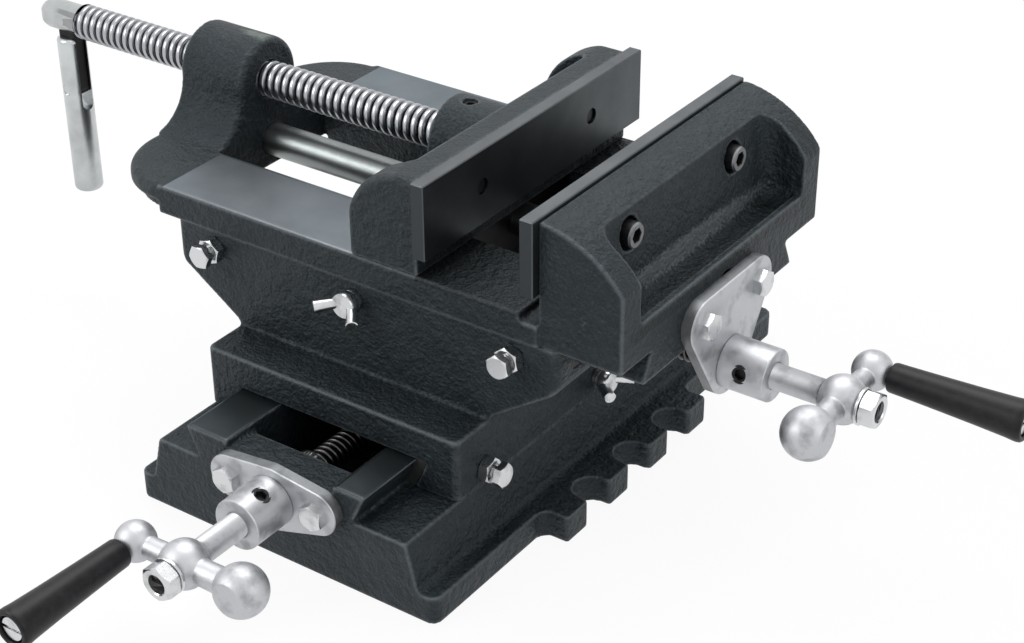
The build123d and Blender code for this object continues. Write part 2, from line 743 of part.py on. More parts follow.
# Movable jaw: wall, rounded cheeks, foot and the boss that takes the end of the vise screw
jaw_bottom = bed_top + slide_gap
keeper_middle = movable_jaw_rear + keeper_inset + keeper_length / 2
with BuildPart() as movable_jaw:
    with BuildSketch(at_y(-bed_half_width)) as movable_profile:
        with BuildLine():
            arc_foot = Vector(movable_jaw_rear, jaw_top - movable_jaw_shoulder_drop)
            arc_top = Vector(movable_jaw_rear + movable_jaw_shoulder_length, jaw_top)
            outward = (arc_top - arc_foot).rotate(Axis.Z, 90).normalized()
            ThreePointArc(arc_foot, (arc_foot + arc_top) / 2 + outward * movable_jaw_bulge, arc_top)
            Polyline(
                arc_top,
                (movable_plate_back, jaw_top),
                (movable_plate_back, jaw_bottom),
                (movable_jaw_rear, jaw_bottom),
                arc_foot,
            )
        make_face()
        shoulder_ends = movable_profile.vertices().filter_by(
            lambda v: (v.center() - arc_foot).length < 0.01 or (v.center() - arc_top).length < 0.01
        )
        fillet(shoulder_ends, movable_jaw_shoulder_rounding)
    extrude(amount=-2 * bed_half_width)
    cheek_edges = movable_jaw.edges().filter_by(
        lambda e: abs(abs(e.center().Y) - bed_half_width) < 0.01
        and e.center().X < movable_plate_back - 0.01
        and e.center().Z > jaw_bottom + 0.01
    )
    fillet(cheek_edges, movable_jaw_edge_rounding)
    with BuildSketch(Plane.XY.offset(jaw_bottom + movable_jaw_foot)) as jaw_hollow:
        with Locations((movable_plate_back - movable_wall, 0)):
            Rectangle(movable_jaw_depth, 2 * (bed_half_width - movable_cheek), align=(Align.MAX, Align.CENTER))
        fillet(jaw_hollow.vertices().group_by(Axis.X)[-1], movable_hollow_rounding)
    extrude(amount=jaw_height, mode=Mode.SUBTRACT)
    with BuildSketch(at_x(boss_face)):
        with Locations((0, screw_height)):
            Circle(movable_boss_radius)
    extrude(amount=movable_plate_back - boss_face - blind_floor)
    with BuildSketch(at_x(boss_face)):
        with Locations((0, screw_height)):
            Circle(journal_radius + shaft_gap)
    extrude(amount=journal_length + blind_floor, mode=Mode.SUBTRACT)
    with BuildSketch(Plane.XY.offset(screw_height)):
        with Locations((boss_face + dog_distance, 0)):
            Circle(m6 / 2 + shaft_gap)
    extrude(amount=jaw_height, mode=Mode.SUBTRACT)
    with BuildSketch(*movable_screw_seats):
        Circle(m8 / 2 + shaft_gap)
    extrude(amount=-movable_wall, mode=Mode.SUBTRACT)
    with BuildSketch(Plane.XY.offset(jaw_bottom)):
        with Locations((keeper_middle, 0)):
            with GridLocations(0, keeper_screw_spacing, 1, 2):
                Circle(m6 / 2 + shaft_gap)
    extrude(amount=movable_jaw_foot - blind_floor, mode=Mode.SUBTRACT)
finish(movable_jaw, "movable_jaw")

# Keeper block between the ways, bored for the guide rod, with its two screws in counterbores
keeper_half_width = bed_window_width / 2 - keeper_side_gap
keeper_bottom = jaw_bottom - keeper_depth
with BuildPart() as jaw_keeper:
    with BuildSketch(at_x(keeper_middle - keeper_length / 2)):
        with Locations((0, keeper_bottom)):
            Rectangle(2 * keeper_half_width, keeper_depth, align=(Align.CENTER, Align.MIN))
        with Locations((0, rod_height)):
            Circle(rod_radius + shaft_gap, mode=Mode.SUBTRACT)
    extrude(amount=keeper_length)
    for hole_radius, hole_depth in (
        (m6 / 2 + shaft_gap, keeper_depth),
        (m6 * 0.75 + screw_head_clearance, keeper_counterbore),
    ):
        with BuildSketch(Plane.XY.offset(keeper_bottom)):
            with Locations((keeper_middle, 0)):
                with GridLocations(0, keeper_screw_spacing, 1, 2):
                    Circle(hole_radius)
        extrude(amount=hole_depth, mode=Mode.SUBTRACT)
finish(jaw_keeper, "jaw_keeper")

keeper_seat_height = keeper_bottom + keeper_counterbore
keeper_seats = [
    Plane(origin=(keeper_middle, side * keeper_screw_spacing / 2, keeper_seat_height), z_dir=(0, 0, -1))
    for side in (-1, 1)
]
keeper_screw_length = keeper_depth - keeper_counterbore + movable_jaw_foot - 2 * blind_floor
finish(cap_screws(keeper_seats, m6, keeper_screw_length), "keeper_screws")

# Guide rod from the rear bracket to the foot of the fixed jaw
with BuildPart() as guide_rod:
    with BuildSketch(at_x(-bed_rear - rod_socket + rod_end_gap)):
        with Locations((0, rod_height)):
            Circle(rod_radius)
    extrude(amount=bed_rear + fixed_plate_back + 2 * (rod_socket - rod_end_gap))
finish(guide_rod, "guide_rod")

# Vise screw: thread, journal with a groove for the dog, and a slotted head for the handle link
thread_start = boss_face - turning_gap
thread_end = thread_start - screw_thread_length
head_end = thread_end - head_length
handle_x = head_end + handle_pin_distance
slot_width = link_thickness + 2 * link_side_gap
with BuildPart() as main_screw:
    with BuildSketch(at_x(thread_start)):
        with Locations((0, screw_height)):
            Circle(screw_radius)
    extrude(amount=-screw_thread_length)
    with BuildSketch(at_x(thread_start)):
        with Locations((0, screw_height)):
            Circle(journal_radius)
    extrude(amount=journal_length)
    with BuildSketch(at_x(boss_face + dog_distance - dog_radius - dog_gap)):
        with Locations((0, screw_height)):
            Circle(journal_radius + cut_margin)
            Circle(journal_groove_radius, mode=Mode.SUBTRACT)
    extrude(amount=2 * (dog_radius + dog_gap), mode=Mode.SUBTRACT)
    with BuildSketch(at_x(thread_end)):
        with Locations((0, screw_height)):
            Circle(head_radius)
    extrude(amount=-head_length)
    chamfer(main_screw.edges().sort_by(Axis.X)[0], head_chamfer)
    with BuildSketch(at_x(thread_end)):
        with Locations((0, screw_height)):
            Rectangle(4 * head_radius, 4 * head_radius)
            Rectangle(2 * head_flat_half_width, 4 * head_radius, mode=Mode.SUBTRACT)
    extrude(amount=-head_length, mode=Mode.SUBTRACT)
    with BuildSketch(at_y(-slot_width / 2)):
        with Locations((head_end, screw_height + link_width / 2 + link_side_gap)):
            Rectangle(handle_pin_distance + link_width, 3 * head_radius, align=(Align.MIN, Align.MAX))
    extrude(amount=-slot_width, mode=Mode.SUBTRACT)
    with BuildSketch(at_y(-2 * head_radius)):
        with Locations((handle_x, screw_height)):
            Circle(handle_pin_radius + shaft_gap)
    extrude(amount=-4 * head_radius, mode=Mode.SUBTRACT)
finish(main_screw, "main_screw")

# Dog screw that keeps the journal in the boss
with BuildPart() as screw_dog:
    dog_top = screw_height + movable_boss_radius - dog_top_drop
    dog_shank_foot = screw_height + journal_radius + dog_shank_gap
    dog_x = boss_face + dog_distance
    with BuildSketch(Plane.XY.offset(dog_shank_foot)):
        with Locations((dog_x, 0)):
            Circle(m6 / 2)
    extrude(amount=dog_top - dog_shank_foot)
    with BuildSketch(Plane.XY.offset(screw_height + journal_groove_radius + dog_gap)):
        with Locations((dog_x, 0)):
            Circle(dog_radius - dog_gap)
    extrude(amount=journal_radius)
    with BuildSketch(Plane.XY.offset(dog_top)):
        with Locations((dog_x, 0)):
            RegularPolygon(set_screw_key, 6)
    extrude(amount=-dog_socket_depth, mode=Mode.SUBTRACT)
finish(screw_dog, "screw_dog")

# Folding handle: a flat link pinned in the screw's head, and a slotted round bar pinned on the link
bar_pin_height = screw_height - link_length
with BuildPart() as handle_link:
    with BuildSketch(at_y(-link_thickness / 2)):
        with Locations((handle_x, (screw_height + bar_pin_height) / 2)):
            SlotCenterToCenter(link_length, link_width, rotation=90)
        with Locations((handle_x, screw_height), (handle_x, bar_pin_height)):
            Circle(handle_pin_radius + shaft_gap, mode=Mode.SUBTRACT)
    extrude(amount=-link_thickness)
finish(handle_link, "handle_link")

bar_top = screw_height - head_radius - handle_top_gap
with BuildPart(Plane(origin=(handle_x, 0, bar_top - handle_length))) as handle_bar:
    Cylinder(handle_radius, handle_length, align=(Align.CENTER, Align.CENTER, Align.MIN))
    fillet(handle_bar.edges().filter_by(GeomType.CIRCLE), handle_tip_rounding)
    with BuildSketch(at_x(handle_x - 2 * handle_radius)):
        with Locations((0, bar_top - handle_slot_length / 2 + slot_width)):
            SlotOverall(handle_slot_length + 2 * slot_width, slot_width, rotation=90)
    extrude(amount=4 * handle_radius, mode=Mode.SUBTRACT)
    with BuildSketch(at_y(-2 * handle_radius)):
        with Locations((handle_x, bar_pin_height)):
            Circle(handle_pin_radius + shaft_gap)
    extrude(amount=-4 * handle_radius, mode=Mode.SUBTRACT)
finish(handle_bar, "handle_bar")

for name, height, half_length in (
    ("handle_head_pin", screw_height, head_flat_half_width),
    ("handle_bar_pin", bar_pin_height, handle_radius - handle_pin_inset),
):
    with BuildPart() as pin:
        with BuildSketch(at_y(-half_length)):
            with Locations((handle_x, height)):
                Circle(handle_pin_radius)
        extrude(amount=-2 * half_length)
    finish(pin, name)

# Both feeds start on the face that carries their plate; local Z runs out along the feed screw.
lower_feed = Plane(origin=(lower_feed_centre, -base_front, lower_feed_height), x_dir=(1, 0, 0), z_dir=(0, -1, 0))
upper_feed = Plane(origin=(bed_front, 0, upper_feed_height), x_dir=(0, -1, 0), z_dir=(1, 0, 0))


def feed_plate(feed, bolt_places, lobe_radius):
    """Flat plate with a boss round the feed screw and a lobe round each bolt."""
    with BuildPart() as plate:
        with BuildSketch(feed):
            Circle(plate_boss_radius)
            with Locations(*bolt_places):
                Circle(lobe_radius)
            make_hull()
        extrude(amount=plate_thickness)
        with BuildSketch(feed):
            Circle(feed_shaft_radius + shaft_gap)
            with Locations(*bolt_places):
                Circle(m6 / 2 + shaft_gap)
        extrude(amount=plate_thickness, mode=Mode.SUBTRACT)
    return plate


def feed_screw(feed, wall, thread_length):
    """Feed screw: stud for the nut, shaft, thrust ring behind the plate's wall, and the thread."""
    with BuildPart() as screw:
        with BuildSketch(feed.offset(-wall - turning_gap)):
            Circle(thrust_ring_radius)
        extrude(amount=-thrust_ring_width)
        with BuildSketch(feed.offset(-wall - turning_gap)):
            Circle(lead_radius)
        extrude(amount=-thread_length)
        with BuildSketch(feed.offset(-wall - turning_gap)):
            Circle(feed_shaft_radius)
        extrude(amount=wall + crank_distance + crank_facing / 2)
        with BuildSketch(feed.offset(crank_distance)):
            Circle(crank_stud_radius)
        extrude(amount=crank_facing + crank_washer_thickness + m8 * 0.75)
    return screw


def feed_collar(feed, screw_angle):
    """Thrust collar on the shaft, with a tapped hole for its set screw."""
    start = plate_thickness + turning_gap
    screw_plane = set_screw_plane(feed, screw_angle)
    with BuildPart() as collar:
        with BuildSketch(feed.offset(start)):
            Circle(collar_radius)
            Circle(feed_shaft_radius + shaft_gap, mode=Mode.SUBTRACT)
        extrude(amount=collar_length)
        with BuildSketch(screw_plane):
            Circle(m6 / 2 + shaft_gap)
        extrude(amount=collar_radius, mode=Mode.SUBTRACT)
    return collar


def set_screw_plane(feed, angle):
    """Plane on the shaft's axis whose normal runs out through the collar's set screw."""
    station = plate_thickness + turning_gap + collar_screw_distance
    normal = feed.x_dir.rotate(Axis((0, 0, 0), feed.z_dir), angle)
    return Plane(origin=feed.offset(station).origin, z_dir=normal)


def set_screw(feed, angle):
    """Socket set screw that holds the collar on the shaft."""
    axis_plane = set_screw_plane(feed, angle)
    length = collar_radius - feed_shaft_radius - shaft_gap - collar_screw_recess
    start = axis_plane.offset(feed_shaft_radius + shaft_gap)
    with BuildPart() as screw:
        with BuildSketch(start):
            Circle(m6 / 2)
        extrude(amount=length)
        with BuildSketch(start.offset(length)):
            RegularPolygon(set_screw_key, 6)
        extrude(amount=-set_screw_key_depth, mode=Mode.SUBTRACT)
    return screw


def crank(feed):
    """Ball crank: hub, counterweight ball and grip ball on one arm, faced off in one plane outside."""
    arm = feed.offset(crank_distance)
    across = Plane(origin=arm.origin, x_dir=arm.z_dir, z_dir=arm.x_dir)
    with BuildPart(arm) as casting:
        Sphere(hub_radius)
        with Locations((big_ball_offset, 0, 0)):
            Sphere(big_ball_radius)
        with Locations((-small_ball_offset, 0, 0)):
            Sphere(small_ball_radius)
        for offset_to_ball, neck_radius, taper in (
            (big_ball_offset, big_neck_radius, big_neck_taper),
            (-small_ball_offset, small_neck_radius, small_neck_taper),
        ):
            with BuildSketch(across):
                Circle(neck_radius + taper)
            with BuildSketch(across.offset(offset_to_ball)):
                Circle(neck_radius)
            loft()
        split(bisect_by=arm.offset(crank_facing), keep=Keep.BOTTOM)
        with BuildSketch(arm.offset(crank_facing / 2)):
            Circle(feed_shaft_radius + shaft_gap)
        extrude(amount=-2 * hub_radius, mode=Mode.SUBTRACT)
        with BuildSketch(arm):
            Circle(crank_stud_radius + shaft_gap)
        extrude(amount=hub_radius, mode=Mode.SUBTRACT)
        with BuildSketch(arm.offset(crank_facing)):
            with Locations((-small_ball_offset, 0)):
                Circle(spindle_radius + shaft_gap)
        extrude(amount=-spindle_thread, mode=Mode.SUBTRACT)
    return casting


def washer(seat):
    """Plain washer under the crank's nut."""
    with BuildPart() as ring:
        with BuildSketch(seat):
            Circle(crank_washer_radius)
            Circle(crank_stud_radius + shaft_gap, mode=Mode.SUBTRACT)
        extrude(amount=crank_washer_thickness)
    return ring


def grip(seat):
    """Tapered grip, bored for its spindle and counterbored for the spindle's head."""
    with BuildPart() as handle:
        with BuildSketch(seat):
            Circle(grip_small_radius)
        with BuildSketch(seat.offset(grip_swell_distance)):
            Circle(grip_large_radius)
        with BuildSketch(seat.offset(grip_length)):
            Circle(grip_end_radius)
        loft()
        fillet(handle.edges().sort_by(Axis(seat.origin, seat.z_dir))[-1], grip_end_rounding)
        with BuildSketch(seat):
            Circle(spindle_radius + 2 * shaft_gap)
        extrude(amount=grip_length, mode=Mode.SUBTRACT)
        with BuildSketch(seat.offset(grip_length)):
            Circle(grip_counterbore_radius)
        extrude(amount=-grip_counterbore_depth, mode=Mode.SUBTRACT)
    return handle


def spindle(seat):
    """Spindle of the grip: threaded end, shank, and a slotted head in the grip's counterbore."""
    shank = grip_length - grip_counterbore_depth + turning_gap
    with BuildPart() as stud:
        with BuildSketch(seat.offset(-spindle_thread)):
            Circle(spindle_radius)
        extrude(amount=spindle_thread + shank)
        with BuildSketch(seat.offset(shank)):
            Circle(spindle_head_radius)
        extrude(amount=spindle_head_height)
        with BuildSketch(seat.offset(shank + spindle_head_height)):
            Rectangle(2 * spindle_head_radius, spindle_slot_width)
        extrude(amount=-spindle_slot_depth, mode=Mode.SUBTRACT)
    return stud


def feed_nut(top, axis_drop):
    """Feed nut block: a flange screwed to the saddle and a bored block round the feed screw."""
    with BuildPart() as nut:
        with BuildSketch(top):
            Rectangle(nut_block_length, 2 * nut_flange_half_width)
            with Locations(*nut_screw_places):
                Circle(m6 / 2 + shaft_gap, mode=Mode.SUBTRACT)
        extrude(amount=nut_flange_thickness)
        with BuildSketch(top):
            Rectangle(nut_block_length, 2 * nut_block_half_width)
        extrude(amount=axis_drop + nut_block_below_axis)
        with BuildSketch(Plane(origin=top.offset(axis_drop).origin, z_dir=top.x_dir)):
            Circle(lead_radius + shaft_gap)
        extrude(amount=nut_block_length, both=True, mode=Mode.SUBTRACT)
    return nut


lower_nut_top = Plane(origin=(lower_feed_centre, 0, lower_roof), x_dir=(0, 1, 0), z_dir=(0, 0, -1))
upper_nut_top = Plane(origin=(0, 0, feed_channel_floor), x_dir=(1, 0, 0), z_dir=(0, 0, 1))
lower_bolt_places = [(side * lower_plate_bolt_offset, lower_plate_rise) for side in (-1, 1)]
upper_bolt_rise = bed_bottom - upper_plate_bolt_drop - upper_feed_height
upper_bolt_places = [(side * upper_plate_bolt_offset, -upper_bolt_rise) for side in (-1, 1)]

finish(feed_plate(lower_feed, lower_bolt_places, lower_plate_lobe_radius), "lower_feed_plate")
finish(feed_plate(upper_feed, upper_bolt_places, upper_plate_lobe_radius), "upper_feed_plate")
finish(feed_screw(lower_feed, base_end_wall, lower_thread_length), "lower_feed_screw")
finish(feed_screw(upper_feed, 0, upper_thread_length), "upper_feed_screw")
finish(feed_nut(lower_nut_top, lower_roof - lower_feed_height), "lower_feed_nut")
finish(feed_nut(upper_nut_top, upper_feed_height - feed_channel_floor), "upper_feed_nut")

for name, feed, places, screw_angle, nut_top in (
    ("lower", lower_feed, lower_bolt_places, lower_collar_screw_angle, lower_nut_top),
    ("upper", upper_feed, upper_bolt_places, upper_collar_screw_angle, upper_nut_top),
):
    facing = feed.offset(crank_distance + crank_facing)
    bolt_seats = [
        Plane(
            origin=feed.from_local_coords(Vector(place[0], place[1], plate_thickness)),
            x_dir=feed.x_dir,
            z_dir=feed.z_dir,
        )
        for place in places
    ]
    nut_seats = [
        Plane(
            origin=nut_top.from_local_coords(Vector(place[0], place[1], nut_flange_thickness)),
            z_dir=nut_top.z_dir,
        )
        for place in nut_screw_places
    ]
    grip_seat = Plane(
        origin=facing.from_local_coords(Vector(-small_ball_offset, 0, turning_gap)),
        x_dir=feed.x_dir,
        z_dir=feed.z_dir,
    )
    finish(hex_bolts(bolt_seats, m6, plate_thickness + plate_bolt_grip), f"{name}_plate_bolts")
    finish(feed_collar(feed, screw_angle), f"{name}_collar")
    finish(set_screw(feed, screw_angle), f"{name}_collar_set_screw")
    finish(crank(feed), f"{name}_crank")
    finish(washer(facing), f"{name}_crank_washer")
    finish(hex_nuts([facing.offset(crank_washer_thickness)], m8, m8 * 0.8), f"{name}_crank_nut")
    finish(grip(grip_seat), f"{name}_grip")
    finish(spindle(grip_seat.offset(-turning_gap)), f"{name}_grip_spindle")
    finish(cap_screws(nut_seats, m6, nut_flange_thickness + nut_screw_grip), f"{name}_nut_screws")
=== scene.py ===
import json
import math

import bmesh
import bpy
from mathutils import Matrix, Vector


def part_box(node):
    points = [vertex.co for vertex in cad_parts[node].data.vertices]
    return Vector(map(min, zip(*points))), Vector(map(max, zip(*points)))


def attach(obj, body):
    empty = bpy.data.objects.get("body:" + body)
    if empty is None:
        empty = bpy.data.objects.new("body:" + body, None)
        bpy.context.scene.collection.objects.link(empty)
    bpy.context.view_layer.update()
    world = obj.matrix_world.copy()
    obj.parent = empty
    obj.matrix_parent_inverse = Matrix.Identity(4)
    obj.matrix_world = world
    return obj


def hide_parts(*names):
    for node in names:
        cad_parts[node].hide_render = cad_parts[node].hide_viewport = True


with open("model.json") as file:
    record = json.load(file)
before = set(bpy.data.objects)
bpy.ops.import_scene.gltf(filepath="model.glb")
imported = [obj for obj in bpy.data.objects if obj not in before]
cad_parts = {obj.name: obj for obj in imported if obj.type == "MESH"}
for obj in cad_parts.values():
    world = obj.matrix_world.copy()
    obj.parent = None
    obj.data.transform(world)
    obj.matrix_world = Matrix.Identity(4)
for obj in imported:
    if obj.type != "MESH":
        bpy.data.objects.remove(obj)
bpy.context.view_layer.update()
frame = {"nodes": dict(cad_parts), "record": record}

MM = 0.001
FINE = 72  # corners of a ring with facets or a hexagon socket

# Sizes in millimetres. Gib screws and slide locks: height of the row, half its length, depth to the gib.
GIB_HEIGHT = {"lower": 38.9, "upper": 91.6}
GIB_HALF_SPAN = {"lower": 74, "upper": 73.5}
GIB_DEPTH = {"lower": 15.8, "upper": 9.9}
PLATE_SCREW_HALF_SPAN = 37.5
PLATE_SCREW_HEIGHT = 137.5
# Heights above the seat of a feed plate
PLATE_TOP = 5
SET_SCREW_AT = 14.65
COLLAR_TOP = 25.15
CRANK_FACE = 61.42
NUT_SEAT = 62.62
NUT_TOP = 69

BODY_OF = {node: body for body, nodes in frame["record"]["behaviour"]["bodies"].items() for node in nodes}


# Placing and mesh helpers

def placed(origin, axis, side=(0, 0, 1)):
    """Matrix whose local Z runs along the axis and whose local X lies near the side direction."""
    z = Vector(axis).normalized()
    x = Vector(side)
    x = (x - z * x.dot(z)).normalized()
    y = z.cross(x)
    axes = Matrix((x, y, z)).transposed().to_4x4()
    return Matrix.Translation(Vector(origin)) @ axes


def middle(node):
    """Middle of a CAD node's box."""
    low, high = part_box(node)
    return (low + high) / 2


def merged(node):
    """Copy of a CAD node's mesh, with the seams between its faces welded."""
    bm = bmesh.new()
    bm.from_mesh(frame["nodes"][node].data)
    bmesh.ops.remove_doubles(bm, verts=bm.verts, dist=1e-7)
    return bm


def piece(name, bm, node, *finishes, angle=30):
    """Finished object that stands for a CAD node, from a bmesh in the row frame. Faces take the finishes
    by index."""
    mesh = bpy.data.meshes.new(name)
    bmesh.ops.recalc_face_normals(bm, faces=bm.faces)
    bm.to_mesh(mesh)
    bm.free()
    mesh.polygons.foreach_set("use_smooth", [True] * len(mesh.polygons))
    mesh.set_sharp_from_angle(angle=math.radians(angle))
    for finish in finishes:
        mesh.materials.append(MATERIALS[finish])
    obj = bpy.data.objects.new(name, mesh)
    bpy.context.scene.collection.objects.link(obj)
    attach(obj, BODY_OF[node])
    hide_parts(node)


def rings(bm, matrix, outline):
    """Lofts closed rings of equal count, given as lists of local points, and returns their corners."""
    rows = [[bm.verts.new(matrix @ Vector(p)) for p in ring] for ring in outline]
    for low, high in zip(rows, rows[1:]):
        for i, corner in enumerate(low):
            bm.faces.new((low[i - 1], corner, high[i], high[i - 1]))
    return rows


def circle(radius, height, count=64):
    """Ring of local points. The radius is a number, or a function of the point's number and angle."""
    made = []
    for i in range(count):
        angle = 2 * math.pi * i / count
        r = radius(i, angle) if callable(radius) else radius
        h = height(i, angle) if callable(height) else height
        made.append((r * math.cos(angle), r * math.sin(angle), h))
    return made


def flats_at(angle, flats):
    """Distance from a hexagon's middle to its side in a direction."""
    return flats / 2 / math.cos((angle + math.pi / 6) % (math.pi / 3) - math.pi / 6)


def turned(bm, matrix, profile, hollow=False):
    """Body of revolution about local Z from (radius, height) points in millimetres."""
    rows = rings(bm, matrix, [circle(radius * MM, height * MM) for radius, height in profile])
    if hollow:
        for i in range(len(rows[0])):
            bm.faces.new((rows[-1][i - 1], rows[-1][i], rows[0][i], rows[0][i - 1]))
    else:
        bm.faces.new(rows[0])
        bm.faces.new(rows[-1])


def hexagon(bm, matrix, flats, low, high, bore=0.0, both=False):
    """Hexagon head or nut in millimetres, with the turned chamfer on its outer end, or on both."""
    flats, low, high, bore = flats * MM, low * MM, high * MM, bore * MM
    contact = flats * 0.47

    def reach(i, angle):
        return flats_at(angle, flats)

    def fall(angle):
        return max(0.0, flats_at(angle, flats) - contact) * math.tan(math.radians(30))

    outline = [circle(reach, lambda i, angle: low + (fall(angle) if both else 0), FINE)]
    if both:
        outline.insert(0, circle(contact, low, FINE))
    outline.append(circle(reach, lambda i, angle: high - fall(angle), FINE))
    outline.append(circle(contact, high, FINE))
    if bore:
        outline.append(circle(bore * 1.12, high, FINE))
        outline.append(circle(bore, high - bore * 0.12, FINE))
        outline.append(circle(bore, low, FINE))
    rows = rings(bm, matrix, outline)
    if bore:
        for i in range(len(rows[0])):
            bm.faces.new((rows[-1][i - 1], rows[-1][i], rows[0][i], rows[0][i - 1]))
    else:
        bm.faces.new(rows[0])
        bm.faces.new(rows[-1])


def socketed(bm, matrix, radius, low, high, key, depth, knurl=0.0):
    """Screw head or set screw in millimetres, with a chamfered rim and a hexagon socket in its outer end.
    The ring round the socket takes the second finish."""
    edge = radius * 0.1

    def rim(i, angle):
        return (radius - knurl * (i % 2)) * MM

    def socket(i, angle):
        return flats_at(angle, key * MM)

    rows = rings(bm, matrix, [
        circle(radius * 0.94 * MM, low * MM, FINE),
        circle(rim, (low + edge) * MM, FINE),
        circle(rim, (high - 1.8 * edge) * MM, FINE),
        circle((radius - knurl) * MM, (high - 1.7 * edge) * MM, FINE),
        circle((radius - edge) * MM, high * MM, FINE),
        circle(lambda i, angle: socket(i, angle) + 0.3 * MM, high * MM, FINE),
        circle(socket, (high - 0.25) * MM, FINE),
        circle(socket, (high - depth) * MM, FINE),
    ])
    bm.faces.new(rows[0])
    bm.faces.new(rows[-1])
    ring = set(rows[3] + rows[4] + rows[5])
    for corner in rows[4]:
        for face in corner.link_faces:
            if all(v in ring for v in face.verts):
                face.material_index = 1


def limb(bm, matrix, stations, count=20):
    """Round arm through stations of (point, direction, radius) in millimetres, closed at both ends."""
    outline = []
    for point, direction, radius in stations:
        frame_of = placed(Vector(point), direction, (0, 0.31, 0.95))
        outline.append([frame_of @ Vector((x, y, 0)) * MM for x, y, _ in circle(radius, 0, count)])
    rows = rings(bm, matrix, outline)
    bm.faces.new(rows[0])
    bm.faces.new(rows[-1])


def thread(bm, matrix, pitch, profile, start, end, steps=48):
    """Closed threaded rod about local Z between two heights. The profile gives (share of the pitch,
    radius)."""
    root = min(radius for _, radius in profile)
    last = (math.ceil((end - start) / pitch) + 2) * steps
    count = len(profile)
    made = []
    for i in range(last + 1):
        angle = 2 * math.pi * i / steps
        base = start - 2 * pitch + pitch * i / steps
        for share, radius in profile:
            height = base + share * pitch
            if not start < height < end:
                height = min(max(height, start), end)
                radius = root
            point = Vector((radius * math.cos(angle), radius * math.sin(angle), height))
            made.append(bm.verts.new(matrix @ point))
    for i in range(last):
        for k in range(count):
            here = i * count + k
            if k + 1 < count:
                bm.faces.new([made[n] for n in (here, here + count, here + count + 1, here + 1)])
            elif i + steps < last:
                above = (i + steps) * count
                bm.faces.new([made[n] for n in (here, here + count, above + count, above)])
    for height in (start, end):
        disc = [bm.verts.new(matrix @ Vector(p)) for p in circle(root, height, steps)]
        bm.faces.new(disc)
        made.extend(disc)
    bmesh.ops.remove_doubles(bm, verts=made, dist=1e-7)


def trapezoid_profile(radius, depth):
    """One pitch of a trapezoidal thread with its crests rounded by wear."""
    return [
        (0.0, radius - depth), (0.20, radius - depth), (0.33, radius - 0.35 * MM), (0.42, radius - 0.08 * MM),
        (0.52, radius), (0.70, radius), (0.80, radius - 0.08 * MM), (0.88, radius - 0.35 * MM),
    ]


def vee_profile(radius, depth):
    """One pitch of a standard metric thread."""
    return [(0.0, radius - depth), (0.12, radius - depth), (0.5, radius), (0.62, radius)]


# Materials

def add(tree, kind, inputs=None, **settings):
    """New shader node with its settings, and inputs that are values or sockets."""
    node = tree.nodes.new(kind)
    for key, value in settings.items():
        setattr(node, key, value)
    for key, value in (inputs or {}).items():
        if isinstance(value, bpy.types.NodeSocket):
            tree.links.new(value, node.inputs[key])
        else:
            node.inputs[key].default_value = value
    return node


def material(name, metallic=0.0, roughness=0.5, color=(0.5, 0.5, 0.5)):
    """New material with its tree, shader and object coordinates."""
    made = bpy.data.materials.new(name)
    made.use_nodes = True
    tree = made.node_tree
    shader = tree.nodes["Principled BSDF"]
    shader.inputs["Metallic"].default_value = metallic
    shader.inputs["Roughness"].default_value = roughness
    shader.inputs["Base Color"].default_value = (*color, 1)
    place = add(tree, "ShaderNodeTexCoord").outputs["Object"]
    return made, tree, shader, place


def noise(tree, place, scale, detail=3.0, stretch=None):
    """Noise value between 0 and 1. Stretch gives the scale along each axis."""
    if stretch:
        place = add(tree, "ShaderNodeMapping", {"Vector": place, "Scale": stretch}).outputs["Vector"]
    return add(tree, "ShaderNodeTexNoise", {"Vector": place, "Scale": scale, "Detail": detail}).outputs["Fac"]


def ramp(tree, value, *stops):
    """Colour or grey ramp through (position, colour) stops."""
    node = add(tree, "ShaderNodeValToRGB", {"Fac": value})
    elements = node.color_ramp.elements
    while len(elements) < len(stops):
        elements.new(0.5)
    for element, (position, color) in zip(elements, stops):
        element.position = position
        element.color = (*color, 1) if isinstance(color, tuple) else (color, color, color, 1)
    return node.outputs["Color"]


def maths(tree, operation, a, b=0.0):
    """Result of a Math node on two values or sockets."""
    return add(tree, "ShaderNodeMath", {0: a, 1: b}, operation=operation).outputs["Value"]


def spread(tree, value, low, high):
    """Value from 0..1 mapped to low..high."""
    return add(tree, "ShaderNodeMapRange", {"Value": value, "To Min": low, "To Max": high}).outputs["Result"]


def bumped(tree, height, strength, distance):
    """Normal that follows a height."""
    inputs = {"Height": height, "Strength": strength, "Distance": distance}
    return add(tree, "ShaderNodeBump", inputs).outputs["Normal"]


def mixed(tree, share, a, b):
    """Colour between a and b."""
    return add(tree, "ShaderNodeMix", {0: share, 6: a, 7: b}, data_type="RGBA").outputs[2]


def within(tree, place, low, high):
    """1 inside a box of the row frame, 0 outside. None leaves a side open."""
    parts = add(tree, "ShaderNodeSeparateXYZ", {"Vector": place}).outputs
    share = None
    for axis in range(3):
        for limit, operation in ((low[axis], "GREATER_THAN"), (high[axis], "LESS_THAN")):
            if limit is None:
                continue
            test = maths(tree, operation, parts[axis], limit)
            share = test if share is None else maths(tree, "MULTIPLY", share, test)
    return share


